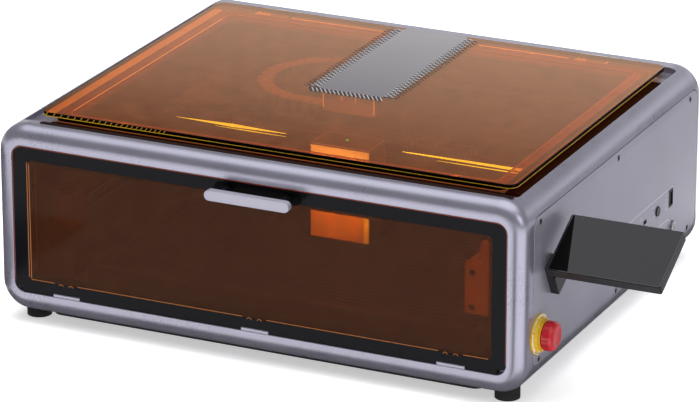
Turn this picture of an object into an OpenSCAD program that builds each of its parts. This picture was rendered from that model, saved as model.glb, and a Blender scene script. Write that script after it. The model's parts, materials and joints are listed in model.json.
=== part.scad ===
// Enclosed desktop laser engraver with a hinged lid, a drop-down front door,
// a gantry on two rails and a tilting touch screen on its right side.
// Millimetres. X to the right, Y to the back, Z up. The origin is the middle
// of the four foot holes, on the table.

/* [Body] */
// Width of the body without the screen
body_w = 567; // [560:1:600]
// Depth of the body
body_d = 468; // [462:1:480]
// Height of the body's lower face above the table
body_bottom = 12; // [12:1:14]
// Radius of the four long corners, seen from the front
corner_r = 30; // [28:1:30]
// Radius of the front and rear edges
edge_r = 15; // [10:1:15]
// Thickness of the casing
wall = 3; // [2:0.5:3]
// Distance from the body's middle to a foot, left and right
foot_x = 254.6; // [250:0.2:256]
// Distance from the body's middle to a foot, front and back
foot_y = 204; // [200:1:206]

/* [Front door] */
// Half the width of the door pocket
door_x = 265.3; // [262:0.1:266]
// Lower edge of the door pocket
door_z0 = 33; // [33:0.5:34]
// Upper edge of the door pocket
door_z1 = 187.3; // [186:0.1:188]
// Thickness of the door
door_t = 4.6; // [4:0.1:4.8]
// Width of the black border at the door's sides
border_x = 15.5; // [12:0.5:18]
// Width of the handle bar
handle_w = 90; // [70:1:110]

/* [Lid] */
// Half the width of the lid sheet
lid_x = 254.6; // [252:0.1:256]
// Front edge of the lid sheet
lid_y0 = -193.1; // [-196:0.1:-192]
// Rear edge of the lid sheet
lid_y1 = 202.4; // [200:0.1:202.4]
// Thickness of the lid sheet
lid_t = 4.1; // [3:0.1:5]

/* [Motion] */
// Gantry beam: height of its section
beam_h = 31; // [30:0.5:31]
// Width of the laser head
head_w = 66; // [60:1:66]
// Depth of the laser head
head_d = 40; // [36:1:40]

/* [Screen] */
// Width of the screen's face
screen_w = 115; // [100:1:120]
// Height of the screen's face
screen_h = 71; // [60:1:75]
// Thickness of the screen's casing
screen_t = 9.5; // [8:0.5:10]
// Tilt of the screen above the horizontal
screen_tilt = 29; // [20:1:35]

/* [Controls] */
// Radius of the emergency stop's collar
collar_r = 20; // [18:1:21]
// Radius of the emergency stop's mushroom head
mushroom_r = 14.5; // [13:0.5:14.5]

/* [Exhaust] */
// Outer radius of the duct spigot
spigot_r = 40; // [36:1:40]
// Length of the duct spigot behind the rear panel
spigot_len = 20; // [15:1:25]
// Number of fan blades
fan_blades = 7; // [5:1:9]

/* [Hidden] */
$fn = 64;

shell = "#9b98ab";
panel_tone = "#8a8798";
black = "#1e1f22";
orange = "#c06020";
steel = "#a8abb0";
body_top = 207;
half_w = body_w / 2;
half_d = body_d / 2;
body_h = body_top - body_bottom;
body_mid = (body_top + body_bottom) / 2;
seam = 0.8;
past = 5;

// Side openings and the room inside the casing
side_y0 = -213;
side_y1 = 218;
side_z0 = 35;
side_z1 = 187;
side_r = 12;
deck_z = 200;
deck_under = deck_z - wall;
recess_x = 264.4;
recess_y0 = -211;
recess_y1 = 207;
mouth_x = 232;
mouth_y0 = -178;
mouth_y1 = 181;
bezel_front = side_y0 + side_r;
bezel_rear = side_y1 - side_r;
liner_x = 250;
liner_t = 1.5;
liner_y = 196;

// Door
ledge_y = -227.2;
opening_z0 = 46;
opening_z1 = 174;
door_front = -half_d + 0.7;
door_back = door_front + door_t;
door_axis_y = door_front + 1.6;
door_axis_z = door_z0 + 2.3;
lug_r = 1.5;
pin_r = 0.8;
door_lugs = [-207.6, -0.2, 207.6];
lug_w = 29.4;
handle_x = 4.2;
handle_z = 177.2;
handle_y = door_front - 24.7;
handle_t = 6.5;
handle_h = 10.4;
handle_r = 5.1;
post_x = 32;

// Lid
lid_top = 210.6;
lid_axis_y = 205;
lid_axis_z = 208.4;
lid_hinges = [-180, 180];
leaf_half = 9.6;
ear_x = 16;

// Fan and duct
fan_x = 5;
fan_z = 78;
fan_half = 40;
fan_front = 198.6;
fan_rear = 223.6;
duct_y = 224;
plate_t = 3;
inlet_x = 150;
inlet_z = 60;

// Holes in the rear bezel and in the panel that closes it
rear_x = 250;
rear_z0 = 36;
rear_z1 = 184;

// Gantry
beam_top = 155;
beam_y0 = -3;
beam_y1 = 15;
beam_x = 228;
pulley_r = 5.8;
flange_r = 8;
pulley_teeth = 20;
belt_r = pulley_r + 0.35;
belt_t = 1.35;
y_belt_x = 220;
y_belt_z = 115;
y_belt_front = -190;
y_belt_rear = 171;
x_belt_y = 13;
x_belt_x = 188;
x_belt_z = 118;
motor_half = 21;
head_x = 5.5;
head_y0 = -52;
head_top = 165;
beam_focus_y = -32;
head_fan_z = 130;
bed_top = 48;
bed_x = 216;
bed_y0 = -176;
bed_y1 = 144;
slats = 34;
slat_gap = 9;

// Drag chain
chain_x = -83;
chain_y = 112;
chain_r = 66;
chain_w = 16;
chain_z = 155;
chain_h = 20;

// Screen, in its own tilted plane
screen_x0 = 290;
screen_y = -198;
screen_z = 134;
tilt_along = 14;
tilt_below = 15.5;

// Emergency stop, key and ports on the right side
estop_y = -198.8;
estop_z = 67.5;
key_y = 151.7;
key_z = 56.9;
button_y = 109.9;
button_z = 87.6;
usb_y = 147;
usb_z = 90;
slot_y = 75.6;
slot_z = 87.5;
screw_y = [-196.6, 0, 196];
screw_z = [41, 180];

// ---- helpers ----

module box(x0, x1, y0, y1, z0, z1) {
    translate([x0, y0, z0]) cube([x1 - x0, y1 - y0, z1 - z0]);
}

module round_rect(w, h, r) {
    square([w, h - 2 * r], center = true);
    square([w - 2 * r, h], center = true);
    for (x = [-1, 1], y = [-1, 1])
        translate([x * (w / 2 - r), y * (h / 2 - r)]) circle(r);
}

module round_area(x0, x1, y0, y1, r) {
    translate([(x0 + x1) / 2, (y0 + y1) / 2]) round_rect(x1 - x0, y1 - y0, r);
}

// An outline in X and Z, made solid from y0 to y1
module along_y(y0, y1) {
    translate([0, y1, 0]) rotate([90, 0, 0]) linear_extrude(y1 - y0) children();
}

// An outline in Y and Z, made solid from x0 to x1
module along_x(x0, x1) {
    translate([x0, 0, 0]) rotate([90, 0, 90]) linear_extrude(x1 - x0) children();
}

// An outline in X and Y, made solid from z0 to z1
module along_z(z0, z1) {
    translate([0, 0, z0]) linear_extrude(z1 - z0) children();
}

module rod_x(x0, x1, y, z, r) {
    translate([x0, y, z]) rotate([0, 90, 0]) cylinder(r = r, h = x1 - x0);
}

module rod_y(y0, y1, x, z, r) {
    translate([x, y1, z]) rotate([90, 0, 0]) cylinder(r = r, h = y1 - y0);
}

module rod_z(z0, z1, x, y, r) {
    translate([x, y, z0]) cylinder(r = r, h = z1 - z0);
}

module both_sides() {
    children();
    mirror([1, 0, 0]) children();
}

// ---- casing ----

// A stretch of the body's outside between the rounded ends
module body_bar(y0, y1) {
    along_y(y0, y1) translate([0, body_mid]) round_rect(body_w, body_h, corner_r);
}

// Half outline of an end: depth long, with one corner rounded
module end_corner(width, depth) {
    square([width - edge_r, depth]);
    translate([0, edge_r]) square([width, depth - edge_r]);
    translate([width - edge_r, edge_r]) intersection() {
        circle(edge_r);
        translate([-1, -edge_r]) square(edge_r + 1);
    }
}

// The front end of the body's outside, with its edges rounded
module end_block(depth) {
    flat_x = half_w - corner_r;
    flat_z = body_h / 2 - corner_r;
    translate([0, -half_d, body_mid]) {
        translate([0, 0, -flat_z]) linear_extrude(2 * flat_z)
            both_sides() end_corner(half_w, depth);
        for (s = [0, 1])
            mirror([0, 0, s]) translate([-flat_x, 0, 0]) rotate([90, 0, 90])
                linear_extrude(2 * flat_x) rotate(90) mirror([0, 1]) end_corner(body_h / 2, depth);
        for (x = [-flat_x, flat_x], z = [-flat_z, flat_z])
            translate([x, 0, z]) rotate([-90, 0, 0]) rotate_extrude() end_corner(corner_r, depth);
    }
}

module cavity() {
    along_y(side_y0, side_y1)
        round_area(-half_w + wall, half_w - wall, body_bottom + wall, deck_under, 20);
}

// Sunken deck that the lid sits in
module lid_recess() {
    along_z(deck_z, body_top + past)
        round_area(-recess_x, recess_x, recess_y0, recess_y1, 6);
}

module side_window(gap = 0) {
    along_x(262, half_w + 5)
        round_area(side_y0 + gap, side_y1 - gap, side_z0 + gap, side_z1 - gap, side_r - gap);
}

module casing_cuts() {
    cavity();
    lid_recess();
    both_sides() side_window();
}

module door_axis_rod(x0, x1, r) {
    rod_x(x0, x1, door_axis_y, door_axis_z, r);
}

module front_bezel() color(shell) {
    difference() {
        end_block(half_d + bezel_front);
        casing_cuts();
        along_y(-half_d - past, ledge_y) round_area(-door_x, door_x, door_z0, door_z1, 11.5);
        along_y(-half_d - past, bezel_front + past)
            round_area(-liner_x, liner_x, opening_z0, opening_z1, 6);
    }
    for (x = door_lugs)
        difference() {
            union() {
                door_axis_rod(x - lug_w / 2, x + lug_w / 2, lug_r);
                box(x - lug_w / 2, x + lug_w / 2, door_axis_y - lug_r, door_axis_y + lug_r,
                    door_z0 - 1, door_axis_z);
            }
            door_axis_rod(x - lug_w / 2 - 1, x + lug_w / 2 + 1, pin_r);
        }
}

module rear_bezel() color(shell) {
    difference() {
        mirror([0, 1, 0]) end_block(half_d - bezel_rear);
        casing_cuts();
        along_y(side_y1 - 10, half_d + past) round_area(-rear_x, rear_x, rear_z0, rear_z1, 10);
    }
}

module top_frame() color(shell) {
    difference() {
        body_bar(bezel_front, bezel_rear);
        casing_cuts();
        box(-half_w, half_w, bezel_front - 1, bezel_rear + 1, 0, 150);
        along_z(deck_under - past, body_top + past)
            round_area(-mouth_x, mouth_x, mouth_y0, mouth_y1, 8);
    }
}

module base_frame() color(shell)
    difference() {
        body_bar(bezel_front, bezel_rear);
        casing_cuts();
        box(-half_w, half_w, bezel_front - 1, bezel_rear + 1, 60, body_top + 5);
    }

module base_plate() color(black) {
    difference() {
        along_z(body_bottom - 4, body_bottom) round_rect(2 * 233, 2 * 218, 10);
        for (x = [-1, 1], y = [-1, 1])
            rod_z(0, body_bottom + 1, x * foot_x, y * foot_y, 22);
    }
}

module side_panel() {
    difference() {
        intersection() {
            body_bar(side_y0, side_y1);
            side_window(seam);
        }
        cavity();
        for (y = screw_y, z = screw_z) {
            rod_x(half_w - 2, half_w + 5, y, z, 3.1);
            rod_x(half_w - 25, half_w, y, z, 1.7);
        }
    }
}

module side_panel_left() color(panel_tone) mirror([1, 0, 0]) side_panel();

module side_panel_right() color(panel_tone) {
    difference() {
        side_panel();
        rod_x(260, half_w + 5, estop_y, estop_z, 11.3);
        rod_x(260, half_w + 5, key_y, key_z, 5.7);
        rod_x(260, half_w + 5, button_y, button_z, 5.5);
        box(260, half_w + 5, usb_y - 5.2, usb_y + 5.2, usb_z - 9.2, usb_z + 9.2);
        box(260, half_w + 5, slot_y - 4.2, slot_y + 4.2, slot_z - 2.2, slot_z + 2.2);
    }
}

// Recessed socket screws that hold the side panels
module side_panel_screws() color(black) both_sides()
    for (y = screw_y, z = screw_z)
        difference() {
            union() {
                rod_x(half_w - 2, half_w - 0.4, y, z, 2.9);
                rod_x(half_w - 12, half_w - 2, y, z, 1.5);
            }
            translate([half_w - 1.4, y, z]) rotate([0, 90, 0]) cylinder(r = 1.5, h = 3, $fn = 6);
        }

module feet() color(black)
    for (x = [-1, 1], y = [-1, 1])
        difference() {
            rod_z(0, body_bottom + 4, x * foot_x, y * foot_y, 12.5);
            body_bar(-side_y1, side_y1);
            rod_z(-1, body_bottom + 5, x * foot_x, y * foot_y, 5);
        }

// Threaded bushes in the middle of the feet, open at the bottom
module foot_bushes() color(steel)
    for (x = [-1, 1], y = [-1, 1])
        difference() {
            rod_z(0, body_bottom, x * foot_x, y * foot_y, 4.96);
            rod_z(-1, body_bottom - 1.5, x * foot_x, y * foot_y, 2.5);
        }

// ---- inside of the chamber ----

module inner_walls() color("#55555c") {
    both_sides() box(liner_x, liner_x + liner_t, side_y0, liner_y, body_bottom + wall, deck_under);
    difference() {
        box(-liner_x - liner_t, liner_x + liner_t, liner_y, liner_y + liner_t,
            body_bottom + wall, deck_under);
        box(-36, 46, liner_y - 1, liner_y + 3, 38, 90);
    }
}

module vent_grille() color("#3a3a40") {
    difference() {
        along_y(liner_y - 2.5, liner_y) round_area(-39, 49, 34, 94, 6);
        for (i = [0:11])
            box(-35 + 7 * i, -31 + 7 * i, liner_y - 3, liner_y + 1, 40, 88);
    }
}

module rear_panel() color(panel_tone) {
    difference() {
        union() {
            along_y(duct_y, duct_y + plate_t)
                round_area(-rear_x, rear_x, rear_z0, rear_z1, 10);
            rod_y(duct_y + plate_t, duct_y + plate_t + spigot_len, fan_x, fan_z, spigot_r);
        }
        rod_y(duct_y - 1, duct_y + 30, fan_x, fan_z, spigot_r - 2.5);
        rod_y(duct_y - 1, duct_y + 30, inlet_x, inlet_z, 6.1);
    }
}

module fan_frame() color(black) {
    difference() {
        along_y(fan_front, fan_rear)
            round_area(fan_x - fan_half, fan_x + fan_half, fan_z - fan_half, fan_z + fan_half, 4);
        rod_y(198, 221, fan_x, fan_z, 38);
        difference() {
            rod_y(220, 225, fan_x, fan_z, 38);
            rod_y(220, 225, fan_x, fan_z, 17);
            box(fan_x - fan_half, fan_x + fan_half, 220, 225, fan_z - 2, fan_z + 2);
            box(fan_x - 2, fan_x + 2, 220, 225, fan_z - fan_half, fan_z + fan_half);
        }
        for (x = [-1, 1], z = [-1, 1])
            rod_y(198, 225, fan_x + 35.7 * x, fan_z + 35.7 * z, 2.2);
    }
    rod_y(212, 221.1, fan_x, fan_z, 2);
}

module fan_rotor() color("#2c2d31")
    difference() {
        translate([fan_x, 219.5, fan_z]) rotate([90, 0, 0]) {
            cylinder(r = 15, h = 19);
            for (i = [1:fan_blades])
                rotate(i * 360 / fan_blades) translate([14, 0, 9.5]) rotate([35, 0, 0])
                    translate([0, -11, -0.8]) cube([21.5, 22, 1.6]);
        }
        rod_y(211.9, 220, fan_x, fan_z, 2.06);
    }

module air_pump_housing() color("#4a4a50") {
    difference() {
        along_z(60, 147) round_area(-110, -32, 152, 193.2, 5);
        for (i = [0:6])
            box(-104 + 9 * i, -100 + 9 * i, 151, 153.2, 78, 132);
    }
    box(-52, -33, 173, 186, 147, chain_z);
    box(-102, -50, 192, liner_y, 100, 140);
}

// Cross member that the lid brackets are bolted to
module rear_beam() color("#6a6a70") {
    difference() {
        box(-200, 200, 188, liner_y, 157, 176);
        box(-201, 201, 187, 193, 161, 172);
        for (x = [-191, -90, 90, 191])
            rod_y(187, 200, x, 166.5, 2);
    }
}

module work_bed() color("#8d8d92") {
    difference() {
        along_z(bed_top - 20, bed_top) round_area(-bed_x, bed_x, bed_y0, bed_y1, 4);
        along_z(bed_top - 21, bed_top + 1)
            round_area(-bed_x + 10, bed_x - 10, bed_y0 + 10, bed_y1 - 10, 2);
    }
    for (i = [1:slats])
        box(-bed_x + 9.5, bed_x - 9.5, bed_y0 + 5 + slat_gap * i, bed_y0 + 6.5 + slat_gap * i,
            bed_top - 14, bed_top - 0.5);
    for (x = [-bed_x + 3, bed_x - 13], y = [bed_y0 + 3, bed_y1 - 13])
        box(x, x + 10, y, y + 10, body_bottom + wall, bed_top - 16);
}

module control_board() color("#1f5a3a") {
    box(256, 257.6, -60, 110, 50, 160);
    for (y = [-50, 90], z = [60, 150])
        rod_x(liner_x + liner_t, 256, y, z, 2.5);
    box(257.6, 262, -20, 0, 90, 110);
    box(257.6, 260, 30, 44, 96, 110);
    box(257.6, 268, -55, -40, 70, 140);
    for (i = [0:3])
        rod_x(257.6, 268, 66, 70 + 16 * i, 5);
}

// ---- front and back motion ----

module y_beams() color("#77777d") both_sides() {
    difference() {
        box(229, 246, -196, liner_y, 96, 136);
        box(228, 232, -197, liner_y + 1, 110, 122);
    }
    box(234, 241, -190, 165, 136, 144);
}

module y_motors() color(black) both_sides() {
    difference() {
        along_x(176, 210)
            round_area(y_belt_rear - motor_half, y_belt_rear + motor_half,
                y_belt_z - motor_half, y_belt_z + motor_half, 4);
        rod_x(209, 211, y_belt_rear, y_belt_z, 4);
    }
    rod_x(208, 224, y_belt_rear, y_belt_z, 2.5);
    box(180, 208, y_belt_rear + motor_half, liner_y, 104, 126);
}

module belt_loop(length, r_in, thick, width) {
    linear_extrude(width, center = true)
        difference() {
            round_rect(length + 2 * (r_in + thick), 2 * (r_in + thick), r_in + thick - 0.01);
            round_rect(length + 2 * r_in, 2 * r_in, r_in - 0.01);
        }
}

module y_belts() color("#141414") both_sides()
    translate([y_belt_x, (y_belt_front + y_belt_rear) / 2, y_belt_z]) rotate([90, 0, 90])
        belt_loop(y_belt_rear - y_belt_front, belt_r, belt_t, 6);

// Forks of the front idlers; the right one has a cover plate
module front_brackets() color("#5a5a60") {
    both_sides() {
        box(225.5, 229, -206, -180, 98, 134);
        box(212, 215, -206, -180, 98, 132);
        box(212, 229, -208, -206, 98, 132);
        rod_x(215, 225.5, y_belt_front, y_belt_z, 1.6);
    }
    difference() {
        box(212, 244, -211, -208, 82, 134);
        for (z = [88, 124])
            rod_y(-212, -207, 217, z, 2.6);
    }
    box(226, 244, -208, -197, 136, 153);
    box(229, 244, -208, -197, 96, 136);
}

module toothed_wheel(bore) {
    difference() {
        union() {
            cylinder(r = pulley_r, h = 7, center = true);
            for (z = [-3.9, 3.9])
                translate([0, 0, z]) cylinder(r = flange_r, h = 0.8, center = true);
        }
        for (i = [1:pulley_teeth])
            rotate(i * 360 / pulley_teeth) translate([pulley_r, 0, 0]) cube([0.9, 0.8, 6.6], center = true);
        cylinder(r = bore, h = 10, center = true);
    }
}

module y_wheel(side, y, bore) {
    translate([side * y_belt_x, y, y_belt_z]) rotate([0, 90, 0]) toothed_wheel(bore);
}

module y_pulley_left() color(steel) y_wheel(-1, y_belt_rear, 2.55);
module y_pulley_right() color(steel) y_wheel(1, y_belt_rear, 2.55);
module y_idler_left() color(steel) y_wheel(-1, y_belt_front, 1.65);
module y_idler_right() color(steel) y_wheel(1, y_belt_front, 1.65);

// ---- gantry ----

module gantry_beam() color("#2a2a2d") {
    difference() {
        box(-beam_x, beam_x, beam_y0, beam_y1, beam_top - beam_h, beam_top);
        box(-beam_x - 1, beam_x + 1, beam_y0 - 1, beam_y0 + 3, 134, 140);
        box(-beam_x - 1, beam_x + 1, 4, 8, beam_top - 2, beam_top + 1);
        box(-beam_x - 1, beam_x + 1, 2, 10, 130, 148);
    }
    rod_z(114, beam_top - beam_h, x_belt_x, x_belt_y, 1.5);
}

// End blocks that ride on the rails, with the motor plate and the cable tray
module gantry_ends() color("#3c3c40") {
    both_sides() {
        difference() {
            box(beam_x, 246.5, -22, 40, 138, 152);
            box(233.6, 241.4, -23, 41, 137, 144.4);
        }
        box(217.5, 222.5, 17, 27, 123.2, 138);
        box(217.5, beam_x, 17, 27, 138, 152);
    }
    box(-beam_x, -beam_x + 3, 28, 34, 111, 138);
    box(-beam_x, -beam_x + 3, 28, 40, 138, 153);
    box(-beam_x + 3, -135, 34, 40, 150, 153);
    difference() {
        box(-beam_x, -166, -3, 34, 111, 113);
        rod_z(110, 114, -x_belt_x, x_belt_y, 4);
    }
    box(-135, -20, 34, 56, 150, 153);
    box(-72, -56, 38, 54, 153, chain_z);
}

module x_rail() color(steel) box(-215, 215, beam_y1, beam_y1 + 6, 139, 149);

module x_motor() color(black) {
    along_z(77, 111)
        round_area(-x_belt_x - motor_half, -x_belt_x + motor_half,
            x_belt_y - motor_half, x_belt_y + motor_half, 4);
    rod_z(111, 123, -x_belt_x, x_belt_y, 2.5);
}

module x_belt() color("#141414")
    translate([0, x_belt_y, x_belt_z]) belt_loop(2 * x_belt_x, belt_r, belt_t, 6);

module x_wheel(side, bore) {
    translate([side * x_belt_x, x_belt_y, x_belt_z]) toothed_wheel(bore);
}

module x_pulley() color(steel) x_wheel(-1, 2.55);
module x_idler() color(steel) x_wheel(1, 1.56);

// ---- carriage and laser head ----

// Saddle over the beam, guided by the rail behind it
module carriage() color("#2b2b2e") {
    difference() {
        box(-74, 46, -8.5, 28, 123.4, 161);
        box(-75, 47, beam_y0 - 0.6, beam_y1 + 0.6, 122, beam_top + 0.6);
        box(-75, 47, beam_y1 - 1, beam_y1 + 6.4, 138.6, 149.4);
        box(-75, 47, beam_y1 - 1, 24, 122, 130);
        for (x = [-66, 38])
            rod_z(158, 162, x, 22, 2);
    }
    box(-40, 46, -8.5, -3.6, 112, 123.4);
    box(head_x - 9, head_x + 9, -14, -8.5, 112, 145);
    box(-20, 10, -3.6, 8.5, 121.6, 123.4);
}

module laser_head() color("#33261f") {
    difference() {
        along_z(68, head_top)
            round_area(head_x - head_w / 2, head_x + head_w / 2, head_y0, head_y0 + head_d, 3);
        box(head_x - 9.4, head_x + 9.4, -14.4, -11, 70, 158);
        for (i = [0:6])
            box(head_x + head_w / 2 - 3, head_x + head_w / 2 + 1, -47.5 + 5 * i, -45 + 5 * i, 96, 158);
        rod_x(head_x - head_w / 2 - 1, head_x - head_w / 2 + 12, beam_focus_y, head_fan_z, 16);
        rod_z(67, 80, head_x, beam_focus_y, 6);
    }
    rod_x(head_x - head_w / 2 + 3, head_x - head_w / 2 + 12.1, beam_focus_y, head_fan_z, 1.5);
}

module head_nozzle() color("#2a2a2c")
    translate([head_x, beam_focus_y, 59]) rotate_extrude()
        polygon([[3, 0], [5, 0], [11, 7], [11, 9], [5.9, 9], [5.9, 20], [3.5, 20], [3.5, 8]]);

module head_fan() color("#26272a")
    difference() {
        translate([head_x - head_w / 2 + 2, beam_focus_y, head_fan_z]) rotate([0, 90, 0]) {
            cylinder(r = 6, h = 9);
            for (i = [1:7])
                rotate(i * 360 / 7) translate([5, -0.6, 1]) cube([10, 1.2, 7]);
        }
        rod_x(head_x - head_w / 2 + 2.9, head_x - head_w / 2 + 12, beam_focus_y, head_fan_z, 1.56);
    }

module head_ribbon() color("#202022") box(-60, -28, 30.5, 31.5, 148, 160);

// Flat cable chain standing on edge: a half turn and two straight ends
module drag_chain() color("#2f2a28") {
    translate([chain_x, chain_y, chain_z]) intersection() {
        rotate_extrude()
            translate([chain_r - chain_w / 2, 0.05]) square([chain_w, chain_h]);
        box(-100, 0, -100, 100, 0, chain_h + 1);
    }
    for (y = [chain_y - chain_r, chain_y + chain_r])
        box(chain_x, y < chain_y ? -56 : -33, y - chain_w / 2, y + chain_w / 2,
            chain_z + 0.05, chain_z + 0.05 + chain_h);
}

// ---- front door ----

// The lower corners are notched, so that they swing clear of the bezel
module door_outline() {
    difference() {
        round_area(-door_x + 0.8, door_x - 0.8, door_z0 + 0.8, door_z1 - 0.8, 10.7);
        for (s = [0, 1])
            mirror([s, 0]) translate([door_x - 9.5, door_z0]) square([10, 6.2]);
    }
}

module window_outline() {
    round_area(-door_x + border_x, door_x - border_x, opening_z0 + 0.8, opening_z1 - 1.2, 5);
}

module door_frame() color(black) {
    difference() {
        along_y(door_front, door_back) door_outline();
        along_y(door_front - 1, door_back + 1) window_outline();
        for (x = door_lugs) {
            box(x - lug_w / 2 - 0.5, x + lug_w / 2 + 0.5, door_front - 1, door_back + 1,
                door_z0, door_axis_z + lug_r + 0.2);
            door_axis_rod(x - lug_w / 2 - 10.1, x + lug_w / 2 + 10.1, pin_r + 0.06);
        }
    }
    along_y(door_front - 1.2, door_front)
        translate([handle_x, handle_z]) round_rect(handle_w, handle_h, handle_r);
    for (x = [-1, 1])
        rod_y(handle_y + handle_t, door_front - 1.2, handle_x + x * post_x, handle_z, 4);
}

module door_window() color(orange) along_y(door_front + 0.4, door_back) window_outline();

module door_handle() color("#b9b8c6")
    along_y(handle_y, handle_y + handle_t)
        translate([handle_x, handle_z]) round_rect(handle_w, handle_h, handle_r);

module door_hinge_pins() color(steel)
    for (x = door_lugs)
        door_axis_rod(x - lug_w / 2 - 10, x + lug_w / 2 + 10, pin_r);

// ---- lid ----

module lid_sheet() color(orange)
    along_z(lid_top - lid_t, lid_top) round_area(-lid_x, lid_x, lid_y0, lid_y1, 10);

module lid_frame() color("#8a4318")
    along_z(deck_z + 0.4, lid_top - lid_t)
        difference() {
            round_area(-241, 241, -188, 190, 9);
            round_area(-229, 229, -176, 178, 5);
        }

module lid_bore(x0, x1, r) {
    rod_x(x0, x1, lid_axis_y, lid_axis_z, r);
}

module lid_hinge_leaves() color(steel)
    for (x = lid_hinges)
        difference() {
            union() {
                box(x - leaf_half, x + leaf_half, 190.2, 202.6, lid_top - lid_t - 1.5, lid_top - lid_t);
                box(x - leaf_half, x + leaf_half, 202.6, 205, lid_top - lid_t - 0.2, lid_top - lid_t + 1.2);
                lid_bore(x - leaf_half, x + leaf_half, 2.1);
            }
            lid_bore(x - 10, x + 10, 0.96);
        }

module lid_hinge_brackets() color(steel)
    for (x = lid_hinges) {
        for (s = [-1, 1]) {
            box(x + s * ear_x - 6, x + s * ear_x + 6, 203.6, 206.6, deck_z, lid_axis_z);
            lid_bore(x + s * ear_x - 6, x + s * ear_x + 6, 1.9);
        }
        lid_bore(x - 10.1, x + 10.1, 0.9);
    }

module camera_housing() color("#2c2c30") {
    difference() {
        along_z(183, lid_top - lid_t) round_area(-38, 21, 0, 34, 3);
        rod_z(182, 186, -8.5, 17, 7);
    }
    rod_z(183.4, 186.1, -8.5, 17, 5);
}

// ---- screen ----

// Frame of the tilted screen: x along the machine's X, y up its face, z out of it
module on_screen() {
    translate([0, screen_y, screen_z]) rotate([screen_tilt, 0, 0]) children();
}

module screen_bracket() color(black) on_screen() {
    box(half_w, screen_x0 - 0.4, 8, 28, -45, -10);
    box(screen_x0 - 0.4, screen_x0 + 2, 8, 28, -45, -22);
    translate([half_w, tilt_along, -tilt_below]) rotate([0, 90, 0]) {
        cylinder(r = 4.5, h = screen_x0 + 3.5 - half_w);
        cylinder(r = 2, h = 26);
    }
}

module screen_housing() color(black) on_screen() {
    difference() {
        union() {
            along_z(-screen_t, -1) round_area(screen_x0, screen_x0 + screen_w, 0, screen_h, 2);
            box(screen_x0 + 4.2, screen_x0 + 15, 9.5, 18.5, -tilt_below, -screen_t);
            translate([screen_x0 + 4.2, tilt_along, -tilt_below]) rotate([0, 90, 0])
                cylinder(r = 4.5, h = 10.8);
        }
        translate([screen_x0 + 3, tilt_along, -tilt_below]) rotate([0, 90, 0])
            cylinder(r = 2.06, h = 13);
    }
}

module screen_glass() color("#0a0a0c") on_screen()
    along_z(-1, 0) round_area(screen_x0, screen_x0 + screen_w, 0, screen_h, 2);

// ---- controls on the right side ----

module estop_collar() color("#dcb928")
    difference() {
        union() {
            rod_x(half_w, half_w + 1.8, estop_y, estop_z, collar_r);
            rod_x(half_w, half_w + 5.6, estop_y, estop_z, mushroom_r + 1.9);
        }
        rod_x(half_w + 1.5, half_w + 6, estop_y, estop_z, mushroom_r + 0.6);
        rod_x(half_w - 1, half_w + 6, estop_y, estop_z, 11.05);
    }

module estop_contacts() color(black)
    difference() {
        union() {
            rod_x(252, half_w - wall, estop_y, estop_z, 12.8);
            rod_x(half_w - wall, half_w + 2, estop_y, estop_z, 11);
        }
        rod_x(256, half_w + 3, estop_y, estop_z, 6.4);
    }

module estop_stem() color("#c8c8cc") rod_x(262, half_w + 6.5, estop_y, estop_z, 6);

module estop_head() color("#be282d")
    difference() {
        translate([half_w + 6.7, estop_y, estop_z]) rotate([0, 90, 0]) rotate_extrude()
            polygon([[0, 0], [mushroom_r - 2, 0], [mushroom_r, 2], [mushroom_r, 9],
                     [mushroom_r - 1.5, 11.5], [mushroom_r - 4, 12.6], [6, 11.6], [0, 11.2]]);
        for (i = [1:18])
            translate([half_w + 6, estop_y, estop_z]) rotate([i * 20, 0, 0])
                translate([2, mushroom_r - 0.5, -0.6]) cube([7.5, 1, 1.2]);
    }

module key_barrel() color(steel)
    difference() {
        union() {
            rod_x(half_w, half_w + 2.4, key_y, key_z, 6.6);
            rod_x(262, half_w, key_y, key_z, 5.5);
        }
        rod_x(266, half_w + 3, key_y, key_z, 4.05);
    }

module key_plug() color("#c9c9cd")
    difference() {
        rod_x(267, half_w + 2.2, key_y, key_z, 4);
        box(half_w - 4, half_w + 3, key_y - 0.5, key_y + 0.5, key_z - 2.8, key_z + 2.8);
    }

module port_sockets() color(black) {
    difference() {
        box(262, half_w + 0.6, usb_y - 5, usb_y + 5, usb_z - 9, usb_z + 9);
        box(half_w - 12, half_w + 1, usb_y - 3.6, usb_y + 3.6, usb_z - 7.4, usb_z + 7.4);
    }
    box(half_w - 12.5, half_w - 1, usb_y - 1, usb_y + 1, usb_z - 6, usb_z + 6);
    difference() {
        box(270, half_w + 0.2, slot_y - 4, slot_y + 4, slot_z - 2, slot_z + 2);
        box(half_w - 6, half_w + 1, slot_y - 3.2, slot_y + 3.2, slot_z - 1.2, slot_z + 1.2);
    }
    difference() {
        rod_y(210, duct_y + 4, inlet_x, inlet_z, 6);
        rod_y(214, duct_y + past, inlet_x, inlet_z, 2.75);
    }
}

module power_button() color("#26272a") {
    rod_x(half_w - 10, half_w + 1.4, button_y, button_z, 4.9);
}

front_bezel();
rear_bezel();
top_frame();
base_frame();
base_plate();
side_panel_left();
side_panel_right();
side_panel_screws();
feet();
foot_bushes();
inner_walls();
vent_grille();
rear_panel();
fan_frame();
fan_rotor();
air_pump_housing();
rear_beam();
work_bed();
control_board();
y_beams();
y_motors();
y_belts();
front_brackets();
y_pulley_left();
y_pulley_right();
y_idler_left();
y_idler_right();
gantry_beam();
gantry_ends();
x_rail();
x_motor();
x_belt();
x_pulley();
x_idler();
carriage();
laser_head();
head_nozzle();
head_fan();
head_ribbon();
drag_chain();
door_frame();
door_window();
door_handle();
door_hinge_pins();
lid_sheet();
lid_frame();
lid_hinge_leaves();
lid_hinge_brackets();
camera_housing();
screen_bracket();
screen_housing();
screen_glass();
estop_collar();
estop_contacts();
estop_stem();
estop_head();
key_barrel();
key_plug();
port_sockets();
power_button();
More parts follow.
